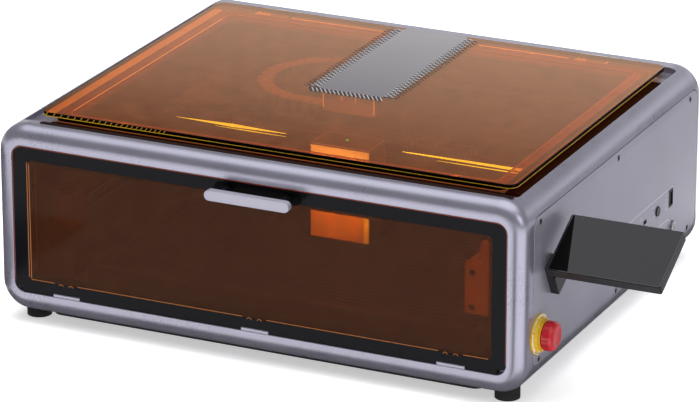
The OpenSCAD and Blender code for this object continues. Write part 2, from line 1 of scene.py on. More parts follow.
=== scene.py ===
import json
import math

import bmesh
import bpy
from mathutils import Matrix, Vector


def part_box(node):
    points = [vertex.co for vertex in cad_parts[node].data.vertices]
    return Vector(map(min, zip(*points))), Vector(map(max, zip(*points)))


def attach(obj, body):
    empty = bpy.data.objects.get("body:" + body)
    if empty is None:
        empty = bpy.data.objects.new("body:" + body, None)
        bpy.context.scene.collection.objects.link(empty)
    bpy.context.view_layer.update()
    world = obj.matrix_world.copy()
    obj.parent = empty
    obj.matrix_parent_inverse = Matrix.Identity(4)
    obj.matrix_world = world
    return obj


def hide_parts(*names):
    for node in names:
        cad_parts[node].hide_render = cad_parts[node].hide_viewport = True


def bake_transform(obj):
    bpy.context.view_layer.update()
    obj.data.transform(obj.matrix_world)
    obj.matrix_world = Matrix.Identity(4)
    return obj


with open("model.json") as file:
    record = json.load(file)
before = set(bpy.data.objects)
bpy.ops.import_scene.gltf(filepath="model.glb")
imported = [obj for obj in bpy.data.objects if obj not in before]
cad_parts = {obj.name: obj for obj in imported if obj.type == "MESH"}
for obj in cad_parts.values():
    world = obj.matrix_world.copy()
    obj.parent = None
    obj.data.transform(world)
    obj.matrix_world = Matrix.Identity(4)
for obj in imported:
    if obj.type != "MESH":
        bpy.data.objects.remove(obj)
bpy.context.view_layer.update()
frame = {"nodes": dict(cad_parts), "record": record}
MM = 0.001  # the mesh helpers below work in millimetres
UP = Vector((0, 0, 1))


# ---- camera ----

cam_data = bpy.data.cameras.new("camera")
cam_data.lens = 224.02
cam_data.sensor_width = 36.0
cam_data.clip_start = 0.1
cam_data.clip_end = 200.0
camera = bpy.data.objects.new("camera", cam_data)
bpy.context.scene.collection.objects.link(camera)
camera.location = (1.7469, -3.7462, 1.6144)
aim = Vector((-0.0045, -0.0053, 0.0922)) - camera.location
camera.rotation_mode = "QUATERNION"
camera.rotation_quaternion = aim.to_track_quat("-Z", "Y")
bpy.context.scene.camera = camera
bpy.context.scene.view_settings.view_transform = "Standard"


# ---- materials ----


class Nodes:
    """A short way to wire a material's nodes."""

    def __init__(self, name):
        self.mat = bpy.data.materials.new(name)
        self.mat.use_nodes = True
        self.tree = self.mat.node_tree
        self.tree.nodes.clear()
        self.out = self.tree.nodes.new("ShaderNodeOutputMaterial")
        self.coord = self.tree.nodes.new("ShaderNodeTexCoord").outputs["Object"]

    def add(self, kind, **values):
        n = self.tree.nodes.new(kind)
        for k, v in values.items():
            if hasattr(n, k):
                setattr(n, k, v)
        return n

    def put(self, value, socket):
        if isinstance(value, bpy.types.NodeSocket):
            self.tree.links.new(value, socket)
        else:
            socket.default_value = value

    def noise(self, scale, detail=3.0, stretch=None, rough=0.55):
        n = self.add("ShaderNodeTexNoise")
        n.inputs["Scale"].default_value = scale
        n.inputs["Detail"].default_value = detail
        n.inputs["Roughness"].default_value = rough
        src = self.coord
        if stretch:
            m = self.add("ShaderNodeMapping")
            m.inputs["Scale"].default_value = stretch
            self.put(src, m.inputs["Vector"])
            src = m.outputs["Vector"]
        self.put(src, n.inputs["Vector"])
        return n.outputs["Fac"]

    def ramp(self, value, a, b, lo=0.0, hi=1.0):
        """value from a..b mapped to lo..hi, clamped."""
        n = self.add("ShaderNodeMapRange")
        n.clamp = True
        self.put(value, n.inputs["Value"])
        for k, v in (("From Min", a), ("From Max", b), ("To Min", lo), ("To Max", hi)):
            n.inputs[k].default_value = v
        return n.outputs["Result"]

    def math(self, op, a, b=0.0):
        n = self.add("ShaderNodeMath", operation=op)
        self.put(a, n.inputs[0])
        self.put(b, n.inputs[1])
        return n.outputs[0]

    def mix(self, fac, a, b):
        n = self.add("ShaderNodeMix", data_type="RGBA")
        self.put(fac, n.inputs["Factor"])
        for v, key in ((a, 6), (b, 7)):
            self.put(v if isinstance(v, bpy.types.NodeSocket) else (*v[:3], 1.0), n.inputs[key])
        return n.outputs[2]

    def bevel(self, radius):
        n = self.add("ShaderNodeBevel", samples=4)
        n.inputs["Radius"].default_value = radius
        return n.outputs["Normal"]

    def edge_mask(self, radius):
        """1 on sharp edges and 0 on flats."""
        geo = self.add("ShaderNodeNewGeometry")
        dot = self.add("ShaderNodeVectorMath", operation="DOT_PRODUCT")
        self.put(self.bevel(radius), dot.inputs[0])
        self.put(geo.outputs["Normal"], dot.inputs[1])
        return self.ramp(dot.outputs["Value"], 0.995, 0.85, 0.0, 1.0)

    def bump(self, height, strength, distance, normal=None):
        n = self.add("ShaderNodeBump")
        n.inputs["Strength"].default_value = strength
        n.inputs["Distance"].default_value = distance
        self.put(height, n.inputs["Height"])
        if normal is not None:
            self.put(normal, n.inputs["Normal"])
        return n.outputs["Normal"]

    def principled(self, color, rough, normal=None, **sockets):
        n = self.add("ShaderNodeBsdfPrincipled")
        self.put(color if isinstance(color, bpy.types.NodeSocket) else (*color, 1.0), n.inputs["Base Color"])
        self.put(rough, n.inputs["Roughness"])
        if normal is not None:
            self.put(normal, n.inputs["Normal"])
        for k, v in sockets.items():
            self.put(v, n.inputs[k.replace("_", " ")])
        return n.outputs["BSDF"]

    def finish(self, shader):
        self.put(shader, self.out.inputs["Surface"])
        return self.mat


def tint(rgb, k):
    return tuple(max(0.0, min(1.0, c * k)) for c in rgb)


def coated(name, rgb, rough=0.4, metal=0.0, grain=900.0, bump=0.15, wear=0.5, edge=0.0006,
           coat=0.0, spec=0.5, spread=0.08):
    """Paint or moulded plastic: fine grain in colour, roughness and height, paler worn edges.

    edge is the width in metres of the edges that wear, spread how far the colour drifts either way."""
    n = Nodes(name)
    fine = n.noise(grain, 4)
    broad = n.noise(14.0, 4)
    col = n.mix(n.ramp(broad, 0.3, 0.7), tint(rgb, 1 - spread), tint(rgb, 1 + spread))
    col = n.mix(n.ramp(fine, 0.35, 0.7, 0.0, 0.35), col, tint(rgb, 1.25))
    normal = None
    if edge:
        scuff = n.math("MULTIPLY", n.edge_mask(edge), n.ramp(n.noise(120.0, 5), 0.35, 0.7))
        col = n.mix(n.math("MULTIPLY", scuff, wear), col, tint(tuple(c + 0.12 for c in rgb), 1.3))
        normal = n.bevel(edge)
    r = n.math("ADD", n.ramp(broad, 0.2, 0.8, rough - 0.05, rough + 0.05), n.ramp(fine, 0.2, 0.8, -0.05, 0.05))
    normal = n.bump(fine, bump, 0.0002, normal)
    return n.finish(n.principled(col, r, normal, Metallic=metal, Coat_Weight=coat, Coat_Roughness=0.08,
                                 Specular_IOR_Level=spec))


def brushed(name, rgb, rough=0.3, stretch=(4, 300, 300), metal=1.0):
    """Bare metal with a drawn grain along one axis."""
    n = Nodes(name)
    lines = n.noise(6.0, 6, stretch)
    stain = n.noise(22.0, 4)
    col = n.mix(n.ramp(lines, 0.3, 0.7), tint(rgb, 0.86), tint(rgb, 1.1))
    col = n.mix(n.ramp(stain, 0.5, 0.8, 0.0, 0.25), col, tint(rgb, 0.7))
    r = n.ramp(lines, 0.25, 0.75, rough - 0.08, rough + 0.1)
    return n.finish(n.principled(col, r, n.bump(lines, 0.12, 0.0001, n.bevel(0.0005)), Metallic=metal))


def rubber(name, rgb, rough=0.85):
    """Soft dark rubber with fine grain and a little dust."""
    n = Nodes(name)
    fine = n.noise(1500.0, 3)
    dust = n.noise(40.0, 5)
    col = n.mix(n.ramp(dust, 0.45, 0.8, 0.0, 0.4), rgb, tuple(c + 0.05 for c in rgb))
    r = n.ramp(dust, 0.2, 0.8, rough - 0.1, rough + 0.08)
    normal = n.bump(fine, 0.35, 0.0003, n.bevel(0.0008))
    return n.finish(n.principled(col, r, normal, Specular_IOR_Level=0.3))


def see_through(name, pass_rgb, ior=1.45, rough=0.02, haze_rgb=(0.3, 0.12, 0.04), haze=0.05,
                smear=0.02, mirror=(1, 1, 1)):
    """Tinted acrylic sheet: light goes straight on, each face tints it, and the outer faces mirror.

    haze is the share that the sheet scatters itself, in haze_rgb; mirror tints what it reflects."""
    n = Nodes(name)
    clear = n.add("ShaderNodeBsdfTransparent")
    cloud = n.noise(5.0, 3)
    n.put(n.mix(n.ramp(cloud, 0.3, 0.7), tint(pass_rgb, 0.94), tint(pass_rgb, 1.06)), clear.inputs["Color"])
    body = n.add("ShaderNodeBsdfDiffuse")
    n.put((*haze_rgb, 1.0), body.inputs["Color"])
    inner = n.add("ShaderNodeMixShader")
    n.put(n.ramp(n.noise(60.0, 5), 0.3, 0.8, haze * 0.7, haze * 1.3), inner.inputs["Fac"])
    n.put(clear.outputs[0], inner.inputs[1])
    n.put(body.outputs[0], inner.inputs[2])
    gloss = n.add("ShaderNodeBsdfGlossy")
    n.put(n.ramp(n.noise(35.0, 6), 0.3, 0.8, rough, rough + smear), gloss.inputs["Roughness"])
    n.put((*mirror, 1.0), gloss.inputs["Color"])
    fres = n.add("ShaderNodeFresnel")
    fres.inputs["IOR"].default_value = ior
    geo = n.add("ShaderNodeNewGeometry")
    front = n.math("SUBTRACT", 1.0, geo.outputs["Backfacing"])
    top = n.add("ShaderNodeMixShader")
    n.put(n.math("MULTIPLY", fres.outputs[0], front), top.inputs["Fac"])
    n.put(inner.outputs[0], top.inputs[1])
    n.put(gloss.outputs[0], top.inputs[2])
    return n.finish(top.outputs[0])


def glowing(name, rgb, strength, fade=None):
    """Emission that paints light caught on edges, glints and streaks, and the real glow of the head's LED;
    fade (from x, to x, lowest) dims it along the object.
    """
    n = Nodes(name)
    spots = n.ramp(n.noise(300.0, 2), 0.2, 0.8, 0.7, 1.2)
    if fade:
        xyz = n.add("ShaderNodeSeparateXYZ")
        n.put(n.coord, xyz.inputs[0])
        spots = n.math("MULTIPLY", spots, n.ramp(xyz.outputs["X"], fade[0], fade[1], 1.0, fade[2]))
    power = n.math("MULTIPLY", spots, strength)
    return n.finish(n.principled(tint(rgb, 0.8), 0.3, Emission_Color=(*rgb, 1.0), Emission_Strength=power))


def head_shell(name, rgb, face, dark, highlight_from):
    """Moulded head cover: a warm face, painted shade that darkens the sides, and painted highlights in pale
    strips along the top and the right edge.

    The last argument is where the right painted highlight starts, in metres from the middle of the object."""
    n = Nodes(name)
    xyz = n.add("ShaderNodeSeparateXYZ")
    n.put(n.coord, xyz.inputs[0])
    facing = n.add("ShaderNodeSeparateXYZ")
    n.put(n.add("ShaderNodeNewGeometry").outputs["Normal"], facing.inputs[0])
    fine = n.noise(1000.0, 4)
    # painted highlight: a paler strip along the right edge
    strip = n.ramp(xyz.outputs["X"], highlight_from, highlight_from + 0.0015)
    col = n.mix(strip, face, tint(rgb, 1.4))
    # painted highlight: a pale band along the top of the face
    col = n.mix(n.ramp(xyz.outputs["Z"], 0.148, 0.153), col, rgb)
    col = n.mix(n.ramp(fine, 0.35, 0.7, 0.0, 0.2), col, tint(rgb, 1.15))
    # painted shade: faces that don't face the front take the dark colour
    col = n.mix(n.ramp(facing.outputs["Y"], -0.75, -0.45), col, dark)
    r = n.ramp(n.noise(60.0, 5), 0.2, 0.8, 0.34, 0.48)
    return n.finish(n.principled(col, r, n.bump(fine, 0.12, 0.0002, n.bevel(0.0006))))


# one material for each material slot in the record
MAT = {
    "shell_paint": coated("shell_paint", (0.365, 0.355, 0.435), 0.30, metal=0.72, grain=1600, bump=0.05,
        wear=0.2, edge=0.0012),
    "panel_paint": coated("panel_paint", (0.32, 0.31, 0.37), 0.38, metal=0.5, grain=1400, bump=0.08, wear=0.25,
        edge=0.0008),
    "liner_paint": coated("liner_paint", (0.05, 0.048, 0.048), 0.5, grain=700, bump=0.2, wear=0.3),
    # head cover with painted highlight strips and painted shade on its sides
    "head_paint": head_shell("head_paint", (0.56, 0.42, 0.26), (0.46, 0.165, 0.045), (0.055, 0.045, 0.04),
        0.0318),
    "black_sheet": coated("black_sheet", (0.02, 0.02, 0.022), 0.55, grain=800, bump=0.2),
    "black_steel": coated("black_steel", (0.02, 0.02, 0.022), 0.38, metal=0.2, bump=0.1, wear=0.5, spec=0.3),
    "bare_steel": brushed("bare_steel", (0.50, 0.51, 0.53), 0.3),
    "bright_chrome": brushed("bright_chrome", (0.36, 0.36, 0.38), 0.26, (40, 40, 40)),
    "handle_metal": coated("handle_metal", (0.40, 0.385, 0.46), 0.34, metal=0.4, grain=1600, bump=0.04,
        wear=0.2, edge=0.0008, spread=0.03),
    "bare_aluminium": brushed("bare_aluminium", (0.12, 0.12, 0.125), 0.4),
    "dark_aluminium": brushed("dark_aluminium", (0.22, 0.22, 0.24), 0.42, metal=0.6),
    "black_aluminium": brushed("black_aluminium", (0.05, 0.05, 0.053), 0.3),
    "black_plastic": coated("black_plastic", (0.018, 0.018, 0.020), 0.4, grain=1200, bump=0.2, spec=0.4),
    "chain_plastic": coated("chain_plastic", (0.085, 0.075, 0.07), 0.5, grain=900, bump=0.2, edge=0.0004),
    "gloss_black": coated("gloss_black", (0.0055, 0.0058, 0.0075), 0.16, grain=400, bump=0.02, wear=0.1,
        edge=0.0005, spec=0.085, spread=0.15),
    "amber_acrylic": see_through("amber_acrylic", (0.96, 0.60, 0.25), ior=1.5, rough=0.03,
        haze_rgb=(0.74, 0.30, 0.13), haze=0.10, mirror=(1.0, 0.68, 0.48)),
    "yellow_plastic": coated("yellow_plastic", (0.70, 0.44, 0.02), 0.28, grain=500, bump=0.05, wear=0.2),
    "red_plastic": coated("red_plastic", (0.50, 0.012, 0.02), 0.25, grain=500, bump=0.05, wear=0.2),
    "board_green": coated("board_green", (0.02, 0.16, 0.07), 0.35, grain=300, bump=0.1),
    "screen_glass": coated("screen_glass", (0.0050, 0.0030, 0.0062), 0.06, grain=200, bump=0.0, wear=0.0,
        edge=0.0, spec=0.36, spread=0.2),
    "foot_rubber": rubber("foot_rubber", (0.018, 0.018, 0.019)),
    "belt_rubber": rubber("belt_rubber", (0.02, 0.02, 0.02), 0.7),
}
# materials for details within a slot, where one slot has pieces of several looks
EXTRA = {
    "door_amber": see_through("door_amber", (0.76, 0.45, 0.10), ior=1.13, rough=0.05, haze=0.34,
        haze_rgb=(0.125, 0.047, 0.021)),
    "ring_amber": see_through("ring_amber", (0.95, 0.62, 0.30), ior=1.3, rough=0.08, haze=0.22,
        haze_rgb=(0.62, 0.26, 0.12), mirror=(1.0, 0.68, 0.48)),
    # near-black: painted shade on the acrylic's cut edges and on the frame's lines of shade, and the plain
    # dark of the chain's pins and wires
    "edge_dark": coated("edge_dark", (0.004, 0.0012, 0.0004), 0.15, grain=200, bump=0.02, wear=0.0, edge=0.0,
        spec=0.1, spread=0.3),
    # glow that paints light on the lid sheet's edge and the catches' corners, dimmer towards the right
    "painted_edge_light": glowing("painted_edge_light", (0.62, 0.36, 0.02), 0.36, fade=(-0.16, 0.0, 0.16)),
    # glow that paints light caught along edges of the lid, the window and the head
    "painted_glow_orange": glowing("painted_glow_orange", (0.42, 0.16, 0.05), 0.33),
    "camera_shell": coated("camera_shell", (0.17, 0.085, 0.05), 0.35, grain=900, bump=0.06, edge=0.0),
    # glow that paints glints on the lid frame, over the catches and on the camera's front
    "painted_glint_gold": glowing("painted_glint_gold", (0.80, 0.50, 0.20), 0.60),
    # pale backing under the lid's left margin: painted light
    "margin_painted_light": coated("margin_painted_light", (0.64, 0.80, 0.92), 0.35, grain=900, bump=0.05, edge=0.0, spec=0.3),
    # a painted reflection: the dark casing mirrored in the screen's glass
    "painted_reflection_black": coated("painted_reflection_black", (0.0012, 0.0012, 0.0014), 0.5, grain=900, bump=0.02, edge=0.0,
        spec=0.03),
    "brass": brushed("brass", (0.85, 0.62, 0.30), 0.25, (40, 40, 40)),
    # glow that paints red light caught by the door's edge
    "painted_glow_red": glowing("painted_glow_red", (0.20, 0.025, 0.006), 0.45),
    # near-black with a red tint: a painted reflection of the lid's amber edge
    "deck_dark_reflection": coated("deck_dark_reflection", (0.011, 0.0022, 0.001), 0.4, grain=200, bump=0.02, wear=0.0, edge=0.0,
        spec=0.02, spread=0.3),
    # glow that paints glints on the hinge springs and along the rear rim
    "spring_glint": glowing("spring_glint", (0.85, 0.55, 0.16), 0.55),
    "pure_black": coated("pure_black", (0.0006, 0.0006, 0.0007), 0.5, grain=500, bump=0.02, edge=0.0,
        spec=0.05),
    "head_top": coated("head_top", (0.05, 0.04, 0.035), 0.45, grain=900, bump=0.1),
    # a paler copy of chain_plastic: painted light on the chain's top plates and along the rails
    "chain_top": coated("chain_top", (0.20, 0.17, 0.155), 0.5, grain=900, bump=0.15, edge=0.0004),
    "hoop_grey": coated("hoop_grey", (0.40, 0.38, 0.36), 0.4, grain=900, bump=0.1),
    "display_edge": coated("display_edge", (0.045, 0.044, 0.047), 0.35, grain=900, bump=0.03, edge=0.0,
        spec=0.3, spread=0.05),
    "strip_print": coated("strip_print", (0.063, 0.054, 0.070), 0.09, grain=1200, bump=0.02, edge=0.0,
        spread=0.04, spec=1.0),
    "dash_light": coated("dash_light", (0.34, 0.33, 0.345), 0.3, grain=1200, bump=0.02, edge=0.0, spec=0.5),
    "dash_print": coated("dash_print", (0.012, 0.010, 0.012), 0.45, grain=1200, bump=0.03, edge=0.0, spec=0.4),
    "cream_plastic": coated("cream_plastic", (0.80, 0.68, 0.46), 0.3, grain=500, bump=0.04, edge=0.0),
    "white_print": coated("white_print", (0.62, 0.61, 0.64), 0.4, grain=900, bump=0.02, edge=0.0),
    "led_green": glowing("led_green", (0.03, 0.9, 0.12), 1.6),
    "bed_dark": coated("bed_dark", (0.016, 0.015, 0.015), 0.6, grain=900, bump=0.2, spec=0.15),
    # glow that paints light on the front brackets, dimmer towards the left
    "bracket_painted_light": glowing("bracket_painted_light", (0.15, 0.050, 0.014), 1.7, fade=(0.12, -0.12, 0.04)),
    "gasket": rubber("gasket", (0.006, 0.005, 0.005), 0.8),
    # glow that paints the highlight streaks on the gantry beam
    "beam_painted_highlight": glowing("beam_painted_highlight", (0.78, 1.0, 0.10), 2.0),
    "catch_red": coated("catch_red", (0.30, 0.03, 0.008), 0.2, grain=300, bump=0.02, wear=0.1, coat=0.3),
}

record = frame["record"]
node_slot = {s["node"]: s["material_slot"] for s in record["subparts"]}
for name, obj in frame["nodes"].items():
    obj.data.materials.clear()
    obj.data.materials.append(MAT[node_slot[name]])


def repaint(node, key):
    """Gives a CAD node another material than its slot's."""
    mats = frame["nodes"][node].data.materials
    mats[0] = EXTRA.get(key) or MAT[key]


# ---- mesh helpers, all in millimetres ----


TURN_AXES = {"x": "yzx", "y": "zxy", "z": "xyz"}


class Piece:
    """A mesh built in millimetres, which rides a body and has one of the record's slots."""

    def __init__(self, name, body, slot, mats=None):
        self.name, self.body, self.slot = name, body, slot
        self.mats = mats or [MAT[slot]]
        self.bm = bmesh.new()

    def loft(self, rings, close=True, mat=0, cap_mat=None):
        """Rings of points joined one to the next, with both ends capped."""
        rows = [[self.bm.verts.new(p) for p in ring] for ring in rings]
        n = len(rows[0])
        for a, b in zip(rows, rows[1:]):
            for i in range(n):
                f = self.bm.faces.new((a[i], a[(i + 1) % n], b[(i + 1) % n], b[i]))
                f.material_index = mat
                f.smooth = True
        if close:
            for row, flip in ((rows[0], True), (rows[-1], False)):
                f = self.bm.faces.new(row[::-1] if flip else row)
                f.material_index = mat if cap_mat is None else cap_mat
        return rows

    def slab(self, outline, lo, hi, bevel=0.6, steps=3, axes="xyz", mat=0, cap_mat=None, turn=None):
        """A plate with rounded rims, from lo to hi along the third axis.

        outline(inset) gives its ring in the first two axes."""
        levels = []
        for k in range(steps + 1):
            a = math.pi / 2 * k / steps
            levels.append((bevel * (1 - math.sin(a)), lo + bevel * (1 - math.cos(a))))
        levels += [(i, hi - (h - lo)) for i, h in reversed(levels)]
        rings = [[place((u, v, h), axes) for u, v in outline(i)] for i, h in levels]
        if turn is not None:
            rings = [[turn @ p for p in ring] for ring in rings]
        self.loft(rings, mat=mat, cap_mat=cap_mat)

    def box(self, x0, x1, y0, y1, z0, z1, bevel=0.4, turn=None, mat=0):
        made = bmesh.ops.create_cube(self.bm, size=1.0)["verts"]
        size = Vector((x1 - x0, y1 - y0, z1 - z0))
        mid = Vector((x0 + x1, y0 + y1, z0 + z1)) / 2
        for v in made:
            v.co = Vector(v.co[i] * size[i] for i in range(3)) + mid
        if bevel:
            edges = list({e for v in made for e in v.link_edges})
            out = bmesh.ops.bevel(self.bm, geom=edges, offset=min(bevel, min(size) * 0.45), segments=2,
                                  affect="EDGES", profile=0.5)
            made = list({v for f in out["faces"] for v in f.verts} | {v for v in made if v.is_valid})
        faces = {f for v in made for f in v.link_faces}
        for f in faces:
            f.material_index = mat
        if turn is not None:
            for v in {v for f in faces for v in f.verts}:
                v.co = turn @ v.co
        return made

    def tube(self, points, r, n=10, mat=0):
        """A round bar of radius r along points."""
        pts = [Vector(p) for p in points]
        rings = []
        for i, p in enumerate(pts):
            t = (pts[min(i + 1, len(pts) - 1)] - pts[max(i - 1, 0)]).normalized()
            side = t.cross(UP if abs(t.dot(UP)) < 0.9 else Vector((1, 0, 0))).normalized()
            other = t.cross(side)
            rings.append([p + r * (math.cos(a) * side + math.sin(a) * other) for a in circle(n)])
        self.loft(rings, mat=mat)

    def turned(self, profile, centre, axis="x", n=48, mat=0):
        """profile of (along, radius) turned about an axis through centre."""
        rings = []
        for along, r in profile:
            rings.append([place((r * math.cos(a), r * math.sin(a), along), TURN_AXES[axis], centre)
                          for a in circle(n)])
        self.loft(rings, mat=mat)

    def wall(self, outline, thick, lo, hi, mat=0):
        """A closed loop of wall standing inside outline."""
        section = ((0, lo), (0, hi), (thick, hi), (thick, lo))
        self.loft_loop([[place((u, v, h)) for u, v in outline(i)] for i, h in section], mat)

    def loft_loop(self, rings, mat=0):
        """Rings joined one to the next, and the last to the first."""
        rows = [[self.bm.verts.new(p) for p in ring] for ring in rings]
        n = len(rows[0])
        for a, b in zip(rows, rows[1:] + rows[:1]):
            for i in range(n):
                f = self.bm.faces.new((a[i], a[(i + 1) % n], b[(i + 1) % n], b[i]))
                f.material_index = mat
                f.smooth = True

    def loop(self, points, height, r, n=6, mat=0, axes="xyz"):
        """A closed round bead of radius r along flat points, on the named axes."""
        count = len(points)
        rings = [[] for _ in range(n)]
        for i in range(count):
            (ax, ay), (bx, by) = points[i - 1], points[(i + 1) % count]
            along = Vector((bx - ax, by - ay)).normalized()
            for k, a in enumerate(circle(n)):
                u = points[i][0] + r * math.cos(a) * along.y
                v = points[i][1] - r * math.cos(a) * along.x
                rings[k].append(place((u, v, height + r * math.sin(a)), axes))
        self.loft_loop(rings, mat)

    def revolved(self, loop, centre, axis="x", n=64, mat=0):
        """A closed loop of (along, radius) turned about an axis."""
        rings = []
        for along, r in loop:
            rings.append([place((r * math.cos(a), r * math.sin(a), along), TURN_AXES[axis], centre)
                          for a in circle(n)])
        self.loft_loop(rings, mat)

    def done(self, smooth_angle=35, ride=True):
        """Makes the object; ride=False leaves it without a body."""
        bmesh.ops.recalc_face_normals(self.bm, faces=self.bm.faces)
        for v in self.bm.verts:
            v.co *= MM
        mesh = bpy.data.meshes.new(self.name)
        self.bm.to_mesh(mesh)
        self.bm.free()
        for m in self.mats:
            mesh.materials.append(m)
        obj = bpy.data.objects.new(self.name, mesh)
        bpy.context.scene.collection.objects.link(obj)
        for p in mesh.polygons:
            p.use_smooth = True
        mesh.set_sharp_from_angle(angle=math.radians(smooth_angle))
        if ride:
            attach(obj, self.body)
        return obj


def circle(n):
    """n angles once round, in radians."""
    return [2 * math.pi * k / n for k in range(n)]


def place(p, axes="xyz", origin=None):
    """Puts (u, v, h) on the named axes."""
    out = [0.0, 0.0, 0.0]
    for value, axis in zip(p, axes):
        out["xyz".index(axis)] = value
    v = Vector(out)
    return v + Vector(origin) if origin is not None else v


def rounded(u0, u1, v0, v1, r, n=8):
    """Outline of a rectangle with rounded corners, as a function of an inset."""

    def ring(inset=0.0):
        a0, a1, b0, b1, rr = u0 + inset, u1 - inset, v0 + inset, v1 - inset, max(r - inset, 0.05)
        pts = []
        corners = ((a1 - rr, b1 - rr), (a0 + rr, b1 - rr), (a0 + rr, b0 + rr), (a1 - rr, b0 + rr))
        for turn, (cx, cy) in enumerate(corners):
            for k in range(n + 1):
                a = math.radians(90 * turn + 90 * k / n)
                pts.append((cx + rr * math.cos(a), cy + rr * math.sin(a)))
        return pts

    return ring


def arc(centre, r, start, end, steps):
    """Points of a flat arc about centre, from start to end in degrees."""
    cx, cy, cz = centre
    turns = (math.radians(start + (end - start) * k / steps) for k in range(steps + 1))
    return [(cx + r * math.cos(a), cy + r * math.sin(a), cz) for a in turns]


def about(point, degrees, axis):
    """A turn about an axis through point."""
    shift = Matrix.Translation(point)
    return shift @ Matrix.Rotation(math.radians(degrees), 4, axis) @ shift.inverted()


def box_mm(node):
    """x0, x1, y0, y1, z0, z1 of a CAD node."""
    lo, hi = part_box(node)
    return [c / MM for c in (lo.x, hi.x, lo.y, hi.y, lo.z, hi.z)]


# ---- lid ----

SKIN = 0.12  # the pane stays this far below the CAD sheet's top, so the print fits on it
CATCHES = (("left", -169.7), ("right", 187.6))
DECK_Z, BEZEL_TOP_Z = 200.0, 207.0

x0, x1, y0, y1, z0, z1 = box_mm("lid_sheet")
# the sheet's rims take the near-black edge material as painted shade
pane = Piece("lid_pane", "lid", "amber_acrylic", [MAT["amber_acrylic"], EXTRA["edge_dark"]])
pane.slab(rounded(x0, x1, y0, y1, 10), z0, z1 - SKIN, bevel=0.5, steps=2, mat=1, cap_mat=0)
pane = pane.done(smooth_angle=12)
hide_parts("lid_sheet")
repaint("lid_frame", "ring_amber")

# printed strip from the rear edge to the middle, with a border of short dark and pale dashes
strip = Piece("lid_strip", "lid", "amber_acrylic",
              [EXTRA["strip_print"], EXTRA["dash_print"], EXTRA["dash_light"]])
strip_z = z1 - SKIN
sx0, sx1, sy0, sy1 = -37.2, 35.0, -12.5, y1 - 1.0
strip.slab(rounded(sx0, sx1, sy0, sy1, 5), strip_z, strip_z + 0.08, bevel=0.03, steps=1)


DARK, PALE = 1, 2
STEP_X, STEP_Y = 3.3, 6.4
FRONT_STEP = 4.7


def dash(cx, cy, long, wide, degrees, mat):
    turn = about((cx, cy, 0), degrees, "Z")
    strip.box(cx - long / 2, cx + long / 2, cy - wide / 2, cy + wide / 2, strip_z, strip_z + 0.09,
              0, turn, mat)


for row in range(5):
    away = 1.2 + row * STEP_X
    wide = 3.3 - 0.42 * row
    for i in range(int((sy1 - sy0 - 4) / STEP_Y)):
        cy = sy0 + 2.5 + (i + 0.4 * (row % 2)) * STEP_Y
        for cx in (sx0 - away, sx1 + away):
            dash(cx, cy, 3.1, wide, 12, DARK)
            if row < 3:
                dash(cx, cy + STEP_Y / 2, 3.1, wide * 0.9, 12, PALE)
for i in range(int((sx1 - sx0 + 12) / FRONT_STEP)):
    dash(sx0 - 5 + i * FRONT_STEP, sy0 - 5.5, 14.0, 2.1, -55, DARK)
    dash(sx0 - 2.6 + i * FRONT_STEP, sy0 - 5.0, 12.0, 1.2, -55, PALE)
strip.done()

# edge of the sheet: painted highlights, a glowing lower rim with slanted ticks that fade away to the right
rim = Piece("lid_rim", "lid", "amber_acrylic", [EXTRA["painted_edge_light"]])
corner = 10
low_rim = [(x1 + 0.1, y1 - 30, z0 + 0.3), (x1 + 0.1, y0 + corner, z0 + 0.3)]
low_rim += arc((x1 - corner, y0 + corner, z0 + 0.3), corner + 0.1, 0, -90, 8)
low_rim += arc((x0 + corner, y0 + corner, z0 + 0.3), corner + 0.1, -90, -150, 6)
rim.tube(low_rim, 0.40, 6)
tick, gap, last_tick = x0 + 7, 8.2, -115
while tick < last_tick:
    rim.tube([(tick - 1.2, y0 - 0.12, z0 + 0.2), (tick + 1.7, y0 - 0.12, z1 - 0.6)], 0.36, 6)
    tick += gap
    gap = max(5.0, gap * 0.97)
rim.done()

# dark skirt round the inner frame, with a glowing orange bead along its foot: painted light caught there
fx0, fx1, fy0, fy1, fz0, fz1 = box_mm("lid_frame")
skirt = Piece("lid_skirt", "lid", "amber_acrylic", [EXTRA["edge_dark"], EXTRA["painted_glow_orange"]])
skirt.wall(rounded(fx0 - 0.5, fx1 + 0.5, fy0 - 0.5, fy1 + 0.5, 9), 0.45, fz0 + 0.15, fz1 - 0.1)
skirt.loop(rounded(fx0 - 0.7, fx1 + 0.7, fy0 - 0.7, fy1 + 0.7, 9)(), fz0 + 0.6, 0.34, mat=1)
skirt.done()

# painted fine lines of light and shade along the frame, with painted glints over the catches
lines = Piece("frame_lines", "lid", "amber_acrylic",
              [EXTRA["painted_glow_orange"], EXTRA["edge_dark"], EXTRA["painted_glint_gold"]])
lines.loop(rounded(fx0 + 1.2, fx1 - 1.2, fy0 + 1.2, fy1 - 1.2, 8)(), fz1 - 0.6, 0.25, mat=1)
lines.loop(rounded(fx0 + 10.6, fx1 - 10.6, fy0 + 10.6, fy1 - 10.6, 6)(), fz1 - 0.6, 0.5)
lines.loop(rounded(fx0 + 11.9, fx1 - 11.9, fy0 + 11.9, fy1 - 11.9, 6)(), fz1 - 0.6, 0.3, mat=1)
lines.tube([(fx0 + 10.4, fy0 + 20, fz1 - 0.3), (fx0 + 10.4, fy1 - 30, fz1 - 0.3)], 0.5, 6, mat=2)
mark_z = fz1 - 0.35
for _, cx in CATCHES:
    for dy, dx in ((4, -3), (6.5, 0), (9, 3)):
        lines.tube([(cx + dx - 4, fy0 + dy, mark_z), (cx + dx + 3, fy0 + dy + 1, mark_z)], 0.4, 6, mat=2)
lines.done()

